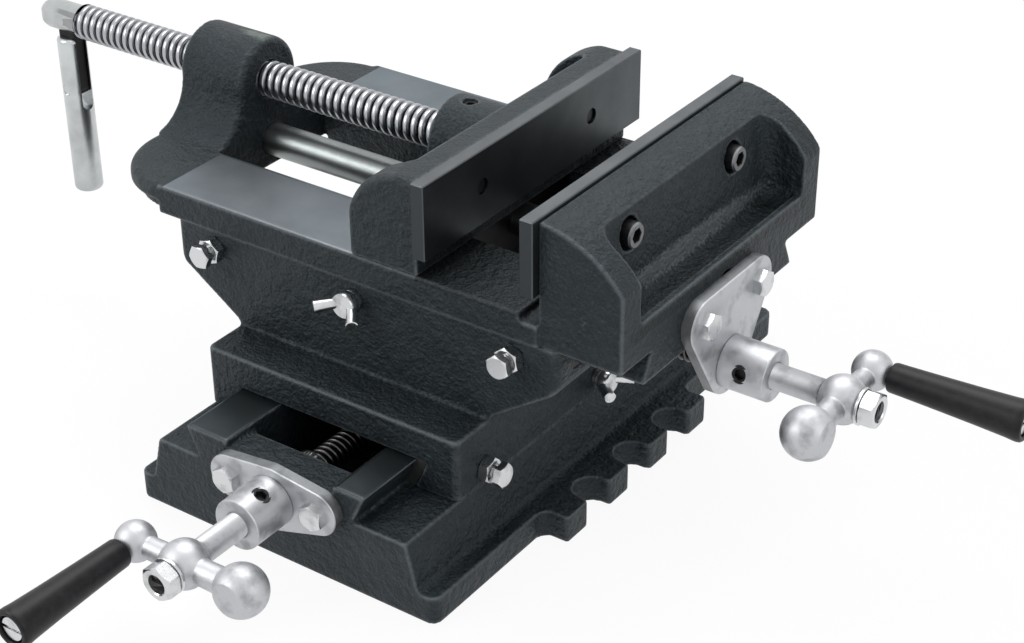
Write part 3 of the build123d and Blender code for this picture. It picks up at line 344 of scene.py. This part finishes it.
def near(tree, place, cloud, centre, reach):
    """Soft cloudy patch about a centre. Reach gives its half length along each axis."""
    scaled = tuple(1 / r for r in reach)
    shifted_by = tuple(-c / r for c, r in zip(centre, reach))
    local = add(tree, "ShaderNodeMapping", {"Vector": place, "Location": shifted_by, "Scale": scaled})
    away = add(tree, "ShaderNodeVectorMath", {0: local.outputs["Vector"]}, operation="LENGTH")
    distance = away.outputs["Value"]
    uneven = maths(tree, "MULTIPLY", maths(tree, "SUBTRACT", cloud, 0.5), 1.4)
    distance = maths(tree, "ADD", distance, uneven)
    return ramp(tree, distance, (0.55, 0.7), (1.0, 0.0))


def enamel(name, machined=(), iron=(0.178, 0.192, 0.205), light_patches=(), painted_shade=()):
    """Black enamel on sand casting. The machined boxes show bare iron where the surface looks up; the
    paint is darker in the darkened boxes as painted shade, and lighter on convex edges and in the patches,
    partly thin paint and partly painted highlight; each patch has its cloud, centre, reach and colour."""
    made, tree, shader, place = material(name)
    shader.inputs["Specular IOR Level"].default_value = 0.32
    shader.inputs["Specular Tint"].default_value = (0.80, 0.93, 1.0, 1)
    large = noise(tree, place, 55, 4)
    dimple = noise(tree, place, 260, 3)
    sand = noise(tree, place, 720, 5)
    paint = ramp(tree, large, (0.3, (0.0085, 0.0115, 0.0135)), (0.7, (0.0155, 0.020, 0.0225)))
    dust = ramp(tree, sand, (0.54, 0.0), (0.72, 0.7))
    paint = mixed(tree, dust, paint, (0.036, 0.045, 0.050, 1))
    edge = add(tree, "ShaderNodeNewGeometry").outputs["Pointiness"]
    corners = ramp(tree, edge, (0.44, 0.75), (0.49, 0.0))
    flecks = maths(tree, "MULTIPLY", corners, ramp(tree, sand, (0.5, 0.0), (0.6, 1.0)))
    paint = mixed(tree, flecks, paint, (0.10, 0.11, 0.105, 1))
    # convex edges lighter: partly thin paint, partly painted highlight
    uneven = maths(tree, "MULTIPLY", maths(tree, "SUBTRACT", dimple, 0.5), 0.022)
    edge = maths(tree, "ADD", edge, uneven)
    paint = mixed(tree, ramp(tree, edge, (0.509, 0.0), (0.545, 0.9)), paint, (0.11, 0.122, 0.13, 1))
    # painted shade: the paint is darkened inside each of these boxes
    for low, high in painted_shade:
        shade_share = maths(tree, "MULTIPLY", within(tree, place, low, high), 0.7)
        paint = mixed(tree, shade_share, paint, (0, 0, 0, 1))
    # lighter patches: partly worn paint, partly painted highlight
    for cloud, centre, reach, tint in light_patches:
        cloud = {"dimple": dimple, "sand": sand}[cloud]
        paint = mixed(tree, near(tree, place, cloud, centre, reach), paint, (*tint, 1))
    relief = maths(tree, "ADD", sand, maths(tree, "MULTIPLY", dimple, 1.6))
    rough = spread(tree, sand, 0.38, 0.6)
    casting = bumped(tree, relief, 0.8, 0.0011)
    share = None
    for low, high in machined:
        box = within(tree, place, low, high)
        share = box if share is None else maths(tree, "MAXIMUM", share, box)
    if share is None:
        tree.links.new(paint, shader.inputs["Base Color"])
        tree.links.new(rough, shader.inputs["Roughness"])
        tree.links.new(casting, shader.inputs["Normal"])
        return made
    normal = add(tree, "ShaderNodeTexCoord").outputs["Normal"]
    up = add(tree, "ShaderNodeSeparateXYZ", {"Vector": normal}).outputs["Z"]
    share = maths(tree, "MULTIPLY", share, maths(tree, "GREATER_THAN", up, 0.8))
    lines = noise(tree, place, 300, 2, (1, 14, 1))
    dark = tuple(c * 0.8 for c in iron)
    bare = ramp(tree, noise(tree, place, 60, 4), (0.3, dark), (0.7, iron))
    tree.links.new(mixed(tree, share, paint, bare), shader.inputs["Base Color"])
    tree.links.new(share, shader.inputs["Metallic"])
    rough = add(tree, "ShaderNodeMix", {0: share, 2: rough, 3: spread(tree, lines, 0.3, 0.4)}).outputs[0]
    tree.links.new(rough, shader.inputs["Roughness"])
    milled = bumped(tree, lines, 0.12, 0.0002)
    mixer = add(tree, "ShaderNodeMix", {0: share, 4: casting, 5: milled}, data_type="VECTOR")
    tree.links.new(mixer.outputs[1], shader.inputs["Normal"])
    return made


def screw_steel(name, across, root, crest, bright):
    """Turned thread: bright crests over grooves darkened as painted shade. Across gives two axes and their
    centres.
    """
    made, tree, shader, place = material(name, 1.0)
    parts = add(tree, "ShaderNodeSeparateXYZ", {"Vector": place}).outputs
    squares = []
    for axis, centre in across:
        off = maths(tree, "SUBTRACT", parts[axis], centre)
        squares.append(maths(tree, "MULTIPLY", off, off))
    radius = maths(tree, "SQRT", maths(tree, "ADD", squares[0], squares[1]))
    inputs = {"Value": radius, "From Min": root, "From Max": crest}
    share = add(tree, "ShaderNodeMapRange", inputs).outputs["Result"]
    stain = noise(tree, place, 240, 4)
    share = maths(tree, "MULTIPLY", share, spread(tree, stain, 0.75, 1.15))
    # grooves darker than crests: painted shade
    tint = ramp(tree, share, (0.1, 0.02), (0.55, tuple(c * 0.5 for c in bright)), (0.9, bright))
    tree.links.new(tint, shader.inputs["Base Color"])
    tree.links.new(spread(tree, stain, 0.22, 0.36), shader.inputs["Roughness"])
    return made


def ground_steel(name, color, roughness, stretch):
    """Ground or brushed steel whose lines run along the axes with the smaller stretch."""
    made, tree, shader, place = material(name, 1.0)
    lines = noise(tree, place, 260, 3, stretch)
    blotch = noise(tree, place, 70, 4)
    dark = tuple(c * 0.72 for c in color)
    tint = ramp(tree, blotch, (0.3, dark), (0.7, color))
    tree.links.new(tint, shader.inputs["Base Color"])
    tree.links.new(spread(tree, lines, roughness * 0.8, roughness * 1.25), shader.inputs["Roughness"])
    tree.links.new(bumped(tree, lines, 0.15, 0.0002), shader.inputs["Normal"])
    return made


def jaw_plate_steel(name):
    """Ground jaw plate: dark on its faces, lighter on top, partly wear and partly painted light, blackened at
    its ends.
    """
    made, tree, shader, place = material(name, 1.0)
    lines = noise(tree, place, 260, 3, (1, 1, 16))
    normal = add(tree, "ShaderNodeTexCoord").outputs["Normal"]
    parts = add(tree, "ShaderNodeSeparateXYZ", {"Vector": normal}).outputs
    blotch = noise(tree, place, 70, 4)
    face = ramp(tree, blotch, (0.3, (0.066, 0.075, 0.079)), (0.7, (0.088, 0.099, 0.104)))
    # top faces lighter: partly wear, partly painted light from above
    top_wear_and_light = ramp(tree, blotch, (0.3, (0.085, 0.092, 0.098)), (0.7, (0.115, 0.124, 0.132)))
    top = mixed(tree, maths(tree, "GREATER_THAN", parts["Z"], 0.5), face, top_wear_and_light)
    end = maths(tree, "GREATER_THAN", maths(tree, "ABSOLUTE", parts["Y"]), 0.8)
    tree.links.new(mixed(tree, end, top, (0.05, 0.057, 0.06, 1)), shader.inputs["Base Color"])
    tree.links.new(spread(tree, lines, 0.34, 0.5), shader.inputs["Roughness"])
    tree.links.new(bumped(tree, lines, 0.15, 0.0002), shader.inputs["Normal"])
    return made


def zinc(name, color, roughness):
    """Zinc plate with a fine mottle and small stains."""
    made, tree, shader, place = material(name, 1.0)
    mottle = noise(tree, place, 500, 4)
    stain = noise(tree, place, 130, 5)
    tint = ramp(tree, stain, (0.28, tuple(c * 0.6 for c in color)), (0.5, color))
    tree.links.new(tint, shader.inputs["Base Color"])
    tree.links.new(spread(tree, mottle, roughness * 0.75, roughness * 1.3), shader.inputs["Roughness"])
    tree.links.new(bumped(tree, mottle, 0.12, 0.0002), shader.inputs["Normal"])
    return made


def plastic(name):
    """Glossy black moulded grip with faint scuffs along it."""
    made, tree, shader, place = material(name, 0.0, 0.2, (0.006, 0.006, 0.007))
    shader.inputs["Specular IOR Level"].default_value = 0.25
    scuff = noise(tree, place, 320, 4)
    tint = ramp(tree, scuff, (0.4, (0.005, 0.005, 0.006)), (0.8, (0.016, 0.016, 0.018)))
    tree.links.new(tint, shader.inputs["Base Color"])
    tree.links.new(spread(tree, scuff, 0.36, 0.5), shader.inputs["Roughness"])
    tree.links.new(bumped(tree, scuff, 0.05, 0.0002), shader.inputs["Normal"])
    return made


def oxide(name):
    """Black oxide on steel screws."""
    made, tree, shader, place = material(name, 0.2)
    shader.inputs["Specular IOR Level"].default_value = 0.3
    grain = noise(tree, place, 900, 4)
    tint = ramp(tree, grain, (0.3, (0.006, 0.006, 0.007)), (0.75, (0.02, 0.021, 0.022)))
    tree.links.new(tint, shader.inputs["Base Color"])
    tree.links.new(spread(tree, grain, 0.3, 0.5), shader.inputs["Roughness"])
    return made


def bronze_metal(name):
    """Cast bronze of the feed nuts."""
    made, tree, shader, place = material(name, 1.0)
    grain = noise(tree, place, 200, 4)
    tint = ramp(tree, grain, (0.3, (0.36, 0.22, 0.09)), (0.7, (0.55, 0.36, 0.16)))
    tree.links.new(tint, shader.inputs["Base Color"])
    tree.links.new(spread(tree, grain, 0.3, 0.5), shader.inputs["Roughness"])
    return made


body_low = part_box("vise_body")[0]
bed_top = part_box("movable_jaw")[0].z
lower_axis = middle("lower_feed_screw")
upper_axis = middle("upper_feed_screw")
screw_axis = middle("main_screw")
MATERIALS = {
    "base": enamel("base_casting", [
        ((None, None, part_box("base")[1].z - 0.4 * MM), (None, None, None)),
    ], (0.058, 0.067, 0.07)),
    "saddle": enamel("saddle_casting"),
    "vise_body": enamel("vise_casting", [
        # bare iron stops at 30 mm, so the bed between the jaws stays dark enamel as painted shade
        ((body_low.x + 37.0 * MM, None, bed_top - 0.5 * MM), (30 * MM, None, bed_top + 0.3 * MM)),
    ], light_patches=[
        # lighter patch on top of the rear boss: partly worn paint, partly painted highlight
        ("dimple", (body_low.x + 27 * MM, 2 * MM, 0.153), (11 * MM, 5 * MM, 6 * MM), (0.15, 0.17, 0.15)),
        # lighter band low on the recess wall by the fixed jaw: painted highlight of its rounded foot, partly
        # worn paint
        ("sand", (105.5 * MM, 0, bed_top + 4.5 * MM), (4 * MM, 70 * MM, 5 * MM), (0.17, 0.185, 0.19)),
    ], painted_shade=[
        # painted shade on the bed between the jaws
        ((30 * MM, None, bed_top - 2 * MM), (84 * MM, None, bed_top + 0.6 * MM)),
        # painted shade on the low floor past 103 mm, by the fixed jaw
        ((103 * MM, -66 * MM, bed_top - 3 * MM), (None, 66 * MM, bed_top + 1.2 * MM)),
    ]),
    "jaw": enamel("jaw_casting"),
    "plate": jaw_plate_steel("jaw_steel"),
    "steel": ground_steel("bright_steel", (0.60, 0.62, 0.63), 0.2, (12, 12, 1)),
    # near-black steel: painted shade on the jaw keeper and upper gib, partly the handle link's own black
    "shadow": ground_steel("shade_dark_steel", (0.03, 0.03, 0.03), 0.4, (12, 12, 1)),
    "rod": ground_steel("rod_steel", (0.26, 0.28, 0.28), 0.36, (1, 14, 14)),
    "gib": ground_steel("gib_steel", (0.22, 0.22, 0.22), 0.4, (1, 10, 10)),
    "vise_thread": screw_steel(
        "vise_thread", ((1, screw_axis.y), (2, screw_axis.z)), 5.6 * MM, 7.95 * MM, (0.42, 0.43, 0.45)),
    "lower_thread": screw_steel(
        "lower_thread", ((0, lower_axis.x), (2, lower_axis.z)), 4.2 * MM, 6 * MM, (0.10, 0.10, 0.10)),
    "upper_thread": screw_steel(
        "upper_thread", ((1, upper_axis.y), (2, upper_axis.z)), 4.2 * MM, 6 * MM, (0.10, 0.10, 0.10)),
    "zinc": zinc("zinc_bright", (0.64, 0.65, 0.66), 0.24),
    "satin": zinc("zinc_satin", (0.50, 0.51, 0.53), 0.45),
    "plate_edge": ground_steel("jaw_edge_steel", (0.34, 0.36, 0.38), 0.4, (1, 1, 16)),
    # mid-grey zinc on the feed plates' sides; on the jaw screws' heads it is a painted highlight on the ring
    # round the socket
    "rim": zinc("zinc_rim", (0.24, 0.25, 0.26), 0.5),
    "cast": zinc("cast_silver", (0.52, 0.53, 0.55), 0.5),
    "oxide": oxide("black_oxide"),
    "grip": plastic("grip_plastic"),
    "bronze": bronze_metal("nut_bronze"),
}


def dress(node, finish):
    """Gives a carried-over CAD node its finish."""
    obj = frame["nodes"][node]
    if not obj.material_slots:
        obj.data.materials.append(None)
    for holder in obj.material_slots:
        holder.link = "OBJECT"
        holder.material = MATERIALS[finish]
    return obj


def as_casting(node, finish, voxel, passes):
    """Rounds a casting's edges as the sand leaves them."""
    obj = dress(node, finish)
    weld = obj.modifiers.new("weld", "WELD")
    weld.merge_threshold = 1e-6
    remesh = obj.modifiers.new("sand", "REMESH")
    remesh.mode = "VOXEL"
    remesh.voxel_size = voxel
    remesh.use_smooth_shade = True
    smooth = obj.modifiers.new("rounding", "SMOOTH")
    smooth.factor = 0.5
    smooth.iterations = passes


def castings():
    """The four enamelled castings, and the cranks with a finer grain."""
    finishes = {"base": "base", "saddle": "saddle", "vise_body": "vise_body", "movable_jaw": "jaw"}
    for node, finish in finishes.items():
        as_casting(node, finish, 0.7 * MM, 6)
    for node in ("lower_crank", "upper_crank"):
        as_casting(node, "cast", 0.35 * MM, 3)


# Machined pieces

LOWER = placed(Vector((lower_axis.x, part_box("lower_feed_plate")[1].y, lower_axis.z)), (0, -1, 0), (1, 0, 0))
UPPER = placed(Vector((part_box("upper_feed_plate")[0].x, upper_axis.y, upper_axis.z)), (1, 0, 0), (0, -1, 0))


def shifted(matrix, x, y, z):
    """The matrix moved along its own axes, in millimetres."""
    return matrix @ Matrix.Translation(Vector((x, y, z)) * MM)


def chamfered(node, matrix, height, width, *finishes):
    """A machined CAD piece with its sharp edges broken at one height above the matrix's origin.
    The second finish, if there is one, is for the sides."""
    bm = merged(node)
    bmesh.ops.dissolve_limit(bm, angle_limit=math.radians(0.5), verts=bm.verts, edges=bm.edges)
    back = matrix.inverted()
    chosen = [
        e for e in bm.edges
        if len(e.link_faces) == 2 and e.calc_face_angle(0) > math.radians(50)
        and all(abs((back @ v.co).z - height * MM) < 0.02 * MM for v in e.verts)
    ]
    bmesh.ops.bevel(bm, geom=chosen, offset=width * MM, segments=2, profile=0.5, affect="EDGES")
    if len(finishes) > 1:
        axis = matrix.to_3x3() @ Vector((0, 0, 1))
        for face in bm.faces:
            face.material_index = int(abs(face.normal.dot(axis)) < 0.3)
    piece(f"{node}_finished", bm, node, *finishes)


def domed(bm, matrix, base, tip):
    """Rounds a screw's head between two heights on its axis, as a ball end is turned."""
    axis = matrix.to_3x3() @ Vector((0, 0, 1))
    for step in range(1, 9):
        height = base + (tip - base) * math.sin(step / 9 * math.pi / 2)
        plane = matrix @ Vector((0, 0, height))
        whole = bm.verts[:] + bm.edges[:] + bm.faces[:]
        bmesh.ops.bisect_plane(bm, geom=whole, plane_co=plane, plane_no=axis)
    back = matrix.inverted()
    for v in bm.verts:
        point = back @ v.co
        share = (point.z - base) / (tip - base)
        if share > 0:
            size = 0.18 + 0.82 * math.sqrt(max(0.0, 1 - min(share, 1.0) ** 2))
            v.co = matrix @ Vector((point.x * size, point.y * size, point.z))


def screwed(name, node, finishes, pitch, depth, radius, start, end, matrix, darkened_spans=None, dome=None):
    """A CAD screw with the thread cut into its plain barrel, between two heights on its axis.
    The thread's finish also covers what lies between the given pairs of heights."""
    bm = merged(node)
    back = matrix.inverted()
    if dome:
        domed(bm, matrix, *dome)
    barrel = []
    for face in bm.faces:
        points = [back @ v.co for v in face.verts]
        on_barrel = all(abs(math.hypot(p.x, p.y) - radius) < 2e-5 for p in points)
        if on_barrel and all(start - 1e-5 < p.z < end + 1e-5 for p in points):
            barrel.append(face)
    bmesh.ops.delete(bm, geom=barrel, context="FACES")
    bmesh.ops.holes_fill(bm, edges=[e for e in bm.edges if e.is_boundary])
    plain = set(bm.faces)
    thread(bm, matrix, pitch, trapezoid_profile(radius, depth), start, end)
    for face in bm.faces:
        height = (back @ face.calc_center_median()).z
        if face not in plain or (darkened_spans and any(low * MM < height < high * MM for low, high in darkened_spans)):
            face.material_index = 1
    piece(name, bm, node, *finishes)


def screws():
    """The vise screw and both feed screws with their threads."""
    matrix = placed(Vector((0, screw_axis.y, screw_axis.z)), (1, 0, 0))
    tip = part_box("main_screw")[0].x
    screwed("vise_screw", "main_screw", ("steel", "vise_thread"), 4 * MM, 2.1 * MM, 8 * MM,
            -211.15 * MM, -5.15 * MM, matrix, dome=(tip + 7 * MM, tip))
    matrix = placed(Vector((lower_axis.x, 0, lower_axis.z)), (0, -1, 0))
    screwed("lower_lead_screw", "lower_feed_screw", ("satin", "lower_thread"), 3 * MM, 1.6 * MM, 6 * MM,
            -98.15 * MM, 104.35 * MM, matrix, ((-110, 122), (190, 200)))
    matrix = placed(Vector((0, upper_axis.y, upper_axis.z)), (1, 0, 0))
    screwed("upper_lead_screw", "upper_feed_screw", ("satin", "upper_thread"), 3 * MM, 1.6 * MM, 6 * MM,
            -94.65 * MM, 116.85 * MM, matrix, ((-110, 120), (187, 200)))


def feed_kit(side, matrix, bolts, set_angle):
    """Plate, bolts, collar, set screw, washer and crank nut of one feed screw. Bolts gives their places
    on the plate, and set_angle the set screw's direction round the collar, in degrees."""
    chamfered(f"{side}_feed_plate", matrix, PLATE_TOP, 0.7, "satin", "rim")
    chamfered(f"{side}_collar", matrix, COLLAR_TOP, 0.7, "satin")
    bm = bmesh.new()
    for x, y in bolts:
        place = shifted(matrix, x, y, PLATE_TOP)
        hexagon(bm, place, 9.96, 0, 3.96)
        turned(bm, place, [(2.6, -16), (3, -15.6), (3, -0.02)])
    piece(f"{side}_hex_bolts", bm, f"{side}_plate_bolts", "zinc")
    bm = bmesh.new()
    angle = math.radians(set_angle)
    origin = matrix @ (Vector((0, 0, SET_SCREW_AT)) * MM)
    outward = matrix.to_3x3() @ Vector((math.cos(angle), math.sin(angle), 0))
    place = placed(origin, outward, matrix.to_3x3() @ Vector((0, 0, 1)))
    socketed(bm, place, 4.1, 6, 10.4, 4, 2.4)
    piece(f"{side}_set_screw", bm, f"{side}_collar_set_screw", "oxide", "oxide")
    bm = bmesh.new()
    turned(bm, matrix, [
        (4.2, CRANK_FACE), (7.3, CRANK_FACE), (7.5, 61.6), (7.5, 62.4), (7.3, 62.6), (4.2, 62.6),
    ], True)
    piece(f"{side}_washer", bm, f"{side}_crank_washer", "zinc")
    bm = bmesh.new()
    hexagon(bm, matrix, 13.12, NUT_SEAT, NUT_TOP, 4.02, True)
    piece(f"{side}_hex_nut", bm, f"{side}_crank_nut", "zinc")


GRIP = [
    (3.1, 0), (4.9, 0), (5.7, 0.4), (6, 1.3), (6.1, 6), (6.5, 18), (7.2, 36), (7.85, 49), (8.15, 52),
    (8.2, 53.5), (8.0, 54.6), (7.4, 55.3), (6.7, 55.5), (6.1, 55.4), (5.7, 54.9), (5.6, 54.2), (5.6, 51.5),
    (3.1, 51.5),
]


def grips():
    """The grips turn on their spindles, whose slotted heads lie in the grips' ends."""
    for side, axis in (("lower", (0, -1, 0)), ("upper", (1, 0, 0))):
        node = f"{side}_grip"
        low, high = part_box(node)
        centre = (low + high) / 2
        along = Vector(axis)
        origin = centre - along * (high - low).dot(Vector([abs(c) for c in axis])) / 2
        matrix = placed(origin, axis)
        bm = bmesh.new()
        turned(bm, matrix, GRIP, True)
        piece(f"{side}_handle_grip", bm, node, "grip")
        dress(f"{side}_grip_spindle", "zinc")


def gib_screws():
    """Adjusting bolts of the gibs with their locknuts."""
    low_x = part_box("lower_gib_locknuts")[0].x
    high_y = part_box("upper_gib_locknuts")[1].y
    seats = {"lower": [], "upper": []}
    for sign in (-1, 1):
        along = {side: sign * span * MM for side, span in GIB_HALF_SPAN.items()}
        height = {side: row * MM for side, row in GIB_HEIGHT.items()}
        seats["lower"].append(placed(Vector((low_x, along["lower"], height["lower"])), (1, 0, 0)))
        seats["upper"].append(placed(Vector((along["upper"], high_y, height["upper"])), (0, -1, 0)))
    for side, places in seats.items():
        nuts = bmesh.new()
        bolts = bmesh.new()
        tip = -GIB_DEPTH[side]
        for turn, place in enumerate(places):
            nut_twist = place @ Matrix.Rotation(math.radians(17 + 21 * turn), 4, "Z")
            head_twist = place @ Matrix.Rotation(math.radians(8 + 33 * turn), 4, "Z")
            hexagon(nuts, nut_twist, 9.84, 0, 4.6, 3.02, True)
            hexagon(bolts, head_twist, 9.2, 7, 10.2)
            turned(bolts, place, [(2.6, tip), (3, tip + 0.4), (3, 4.6)])
            thread(bolts, place, 1 * MM, vee_profile(3 * MM, 0.5 * MM), 4.61 * MM, 6.99 * MM, 32)
        piece(f"{side}_locknuts", nuts, f"{side}_gib_locknuts", "zinc")
        piece(f"{side}_gib_bolts", bolts, f"{side}_gib_screws", "zinc")


def wing_lock(side, matrix, ends):
    """Wing screw of one slide lock: a round hub with a flat end, and two bars that splay outward to their
    cut ends."""
    bm = bmesh.new()
    tip = -GIB_DEPTH[side]
    turned(bm, matrix, [
        (2.6, tip), (3, tip + 0.4), (3, 0), (4.4, 0.05), (4.4, 1.6), (3.8, 1.9), (3.8, 2.7), (5.1, 3.1),
        (5.4, 3.6), (5.4, 6.9), (5, 7.4),
    ])
    for end in ends:
        start = Vector((math.copysign(2.2, end[0]), 0, 4.4))
        span = Vector(end) - start
        stations = []
        for step in range(7):
            t = step / 6
            bow = Vector((0, 0, 1.6)) * t * (t - 1)
            direction = span + Vector((0, 0, 1.6)) * (2 * t - 1)
            stations.append((start + span * t + bow, direction, 2.1 + 0.5 * t))
        stations.append((Vector(end) + direction.normalized() * 0.3, direction, 2.25))
        limb(bm, matrix, stations)
    piece(f"{side}_wing_screw", bm, f"{side}_slide_lock", "zinc", angle=40)


def jaw_plates():
    """Ground jaw plates with broken outer edges, lighter on the bevels: partly worn bright, partly painted
    highlight.
    """
    for node in ("fixed_jaw_plate", "movable_jaw_plate"):
        bm = merged(node)
        bmesh.ops.dissolve_limit(bm, angle_limit=math.radians(0.5), verts=bm.verts, edges=bm.edges)
        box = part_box(node)
        corners = {
            v for v in bm.verts
            if sum(min(abs(v.co[i] - side[i]) for side in box) < 1e-5 for i in range(3)) > 1
        }
        chosen = [
            e for e in bm.edges
            if len(e.link_faces) == 2 and e.calc_face_angle(0) > 1 and all(v in corners for v in e.verts)
        ]
        made = bmesh.ops.bevel(bm, geom=chosen, offset=0.45 * MM, segments=2, profile=0.5, affect="EDGES")
        # the bevels take the lighter edge finish: partly worn bright, partly painted highlight
        for face in made["faces"]:
            face.material_index = 1
        piece(f"{node}_ground", bm, node, "plate", "plate_edge")


def jaw_screws():
    """Socket screws of the jaw plates, and the dog that keeps the vise screw in the movable jaw."""
    for node, x, axis, top in (("fixed_plate_screws", 96.4, 1, 9.4), ("movable_plate_screws", 20, -1, 8)):
        bm = bmesh.new()
        for y in (-PLATE_SCREW_HALF_SPAN, PLATE_SCREW_HALF_SPAN):
            place = placed(Vector((x, y, PLATE_SCREW_HEIGHT)) * MM, (axis, 0, 0))
            socketed(bm, place, 5.1, 0, top, 5, 3.4, 0.1)
            turned(bm, place, [(2.8, -15.9), (3.3, -15.4), (3.3, -0.02)])
        # the ring round each socket takes the lighter rim finish: painted highlight
        piece(f"{node}_heads", bm, node, "oxide", "rim")
    bm = bmesh.new()
    low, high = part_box("screw_dog")
    place = placed(Vector(((low.x + high.x) / 2, (low.y + high.y) / 2, low.z)), (0, 0, 1), (1, 0, 0))
    socketed(bm, place, 2.95, 0, (high.z - low.z) / MM, 3, 2.6)
    piece("dog_set_screw", bm, "screw_dog", "oxide", "oxide")


def plain_finishes():
    """Finishes of the CAD nodes that are carried over as they are."""
    finishes = {
        "gib": ("lower_gib",),
        "steel": ("handle_head_pin", "handle_bar_pin", "handle_bar"),
        # jaw_keeper and upper_gib darkened as painted shade; handle_link partly blackened steel, partly
        # painted shade
        "shadow": ("handle_link", "upper_gib", "jaw_keeper"),
        "rod": ("guide_rod",),
        "bronze": ("lower_feed_nut", "upper_feed_nut"),
        "oxide": ("keeper_screws", "lower_nut_screws", "upper_nut_screws"),
    }
    for finish, nodes in finishes.items():
        for node in nodes:
            dress(node, finish)


# Stage

def camera():
    """Camera that sees the vise as the photograph does."""
    data = bpy.data.cameras.new("camera")
    data.sensor_width = 36
    data.lens = 73.72
    data.clip_start = 0.01
    data.clip_end = 20
    obj = bpy.data.objects.new("camera", data)
    bpy.context.scene.collection.objects.link(obj)
    target = Vector((25.20, -2.51, 56.48)) * MM
    back = Vector((0.4947, -0.7000, 0.5150)).normalized()
    distance = 0.8668
    roll = math.radians(-0.39)
    right = Vector((0, 0, 1)).cross(back).normalized()
    up = back.cross(right)
    cosine, sine = math.cos(roll), math.sin(roll)
    right, up = right * cosine + up * sine, up * cosine - right * sine
    turned_to = Matrix((right, up, back)).transposed().to_4x4()
    obj.matrix_world = Matrix.Translation(target + back * distance) @ turned_to
    bpy.context.scene.camera = obj


def area_light(name, place, size, power):
    """Rectangular lamp that looks at the middle of the vise."""
    data = bpy.data.lights.new(name, "AREA")
    data.shape = "RECTANGLE"
    data.size, data.size_y = size
    data.energy = power
    obj = bpy.data.objects.new(name, data)
    bpy.context.scene.collection.objects.link(obj)
    obj.location = place
    target = Vector((0, 0, 0.08))
    obj.rotation_euler = (target - Vector(place)).to_track_quat("-Z", "Y").to_euler()


def lights():
    """Three soft lamps at a plain level."""
    area_light("top", (-0.3, 0.5, 1.5), (1.2, 1.0), 16)
    area_light("key", (-0.9, -1.1, 1.0), (0.7, 0.7), 9)
    area_light("side", (1.5, -0.1, 0.9), (0.8, 0.8), 3.2)


def background_rays(tree):
    """1 for rays that see the background, straight or in metal and glass."""
    rays = add(tree, "ShaderNodeLightPath").outputs
    share = maths(tree, "MAXIMUM", rays["Is Camera Ray"], rays["Is Glossy Ray"])
    return maths(tree, "MAXIMUM", share, rays["Is Transmission Ray"])


def surroundings():
    """World and floor that are white to the eye and a plain fill to the object."""
    world = bpy.data.worlds.new("studio")
    world.use_nodes = True
    tree = world.node_tree
    ground = tree.nodes["Background"]
    ground.inputs["Color"].default_value = (0.92, 0.95, 1, 1)
    ground.inputs["Strength"].default_value = 0.5
    white = add(tree, "ShaderNodeBackground", {"Color": (1, 1, 1, 1), "Strength": 1.0})
    inputs = {0: background_rays(tree), 1: ground.outputs[0], 2: white.outputs[0]}
    both = add(tree, "ShaderNodeMixShader", inputs)
    tree.links.new(both.outputs[0], tree.nodes["World Output"].inputs["Surface"])
    bpy.context.scene.world = world
    bm = bmesh.new()
    bmesh.ops.create_grid(bm, x_segments=4, y_segments=4, size=6)
    mesh = bpy.data.meshes.new("floor")
    bm.to_mesh(mesh)
    bm.free()
    floor = bpy.data.objects.new("floor", mesh)
    bpy.context.scene.collection.objects.link(floor)
    floor.location.z = -0.0002
    made, tree, shader, _ = material("floor_paper", 0.0, 0.9, (0.93, 0.93, 0.93))
    glow = add(tree, "ShaderNodeEmission", {"Color": (1, 1, 1, 1), "Strength": 1.0})
    share = maths(tree, "MULTIPLY", background_rays(tree), 0.93)
    both = add(tree, "ShaderNodeMixShader", {0: share, 1: shader.outputs[0], 2: glow.outputs[0]})
    tree.links.new(both.outputs[0], tree.nodes["Material Output"].inputs["Surface"])
    mesh.materials.append(made)
    bpy.context.scene.view_settings.view_transform = "Standard"


plain_finishes()
castings()
screws()
feed_kit("lower", LOWER, ((-21.7, 2), (21.7, 2)), 67)
feed_kit("upper", UPPER, ((-20, -25.8), (20, -25.8)), -12)
grips()
gib_screws()
lower_seat = placed(Vector((62.65, 5, GIB_HEIGHT["lower"])) * MM, (1, 0, 0), (0, 1, 0))
upper_seat = placed(Vector((-1.5, -71.15, GIB_HEIGHT["upper"])) * MM, (0, -1, 0), (1, 0, 0))
wing_lock("lower", lower_seat, ((-9, -1, 12), (9, -1, 12)))
wing_lock("upper", upper_seat, ((-10, -1, 12), (8.6, -3.5, 12)))
jaw_plates()
jaw_screws()
camera()
lights()
surroundings()
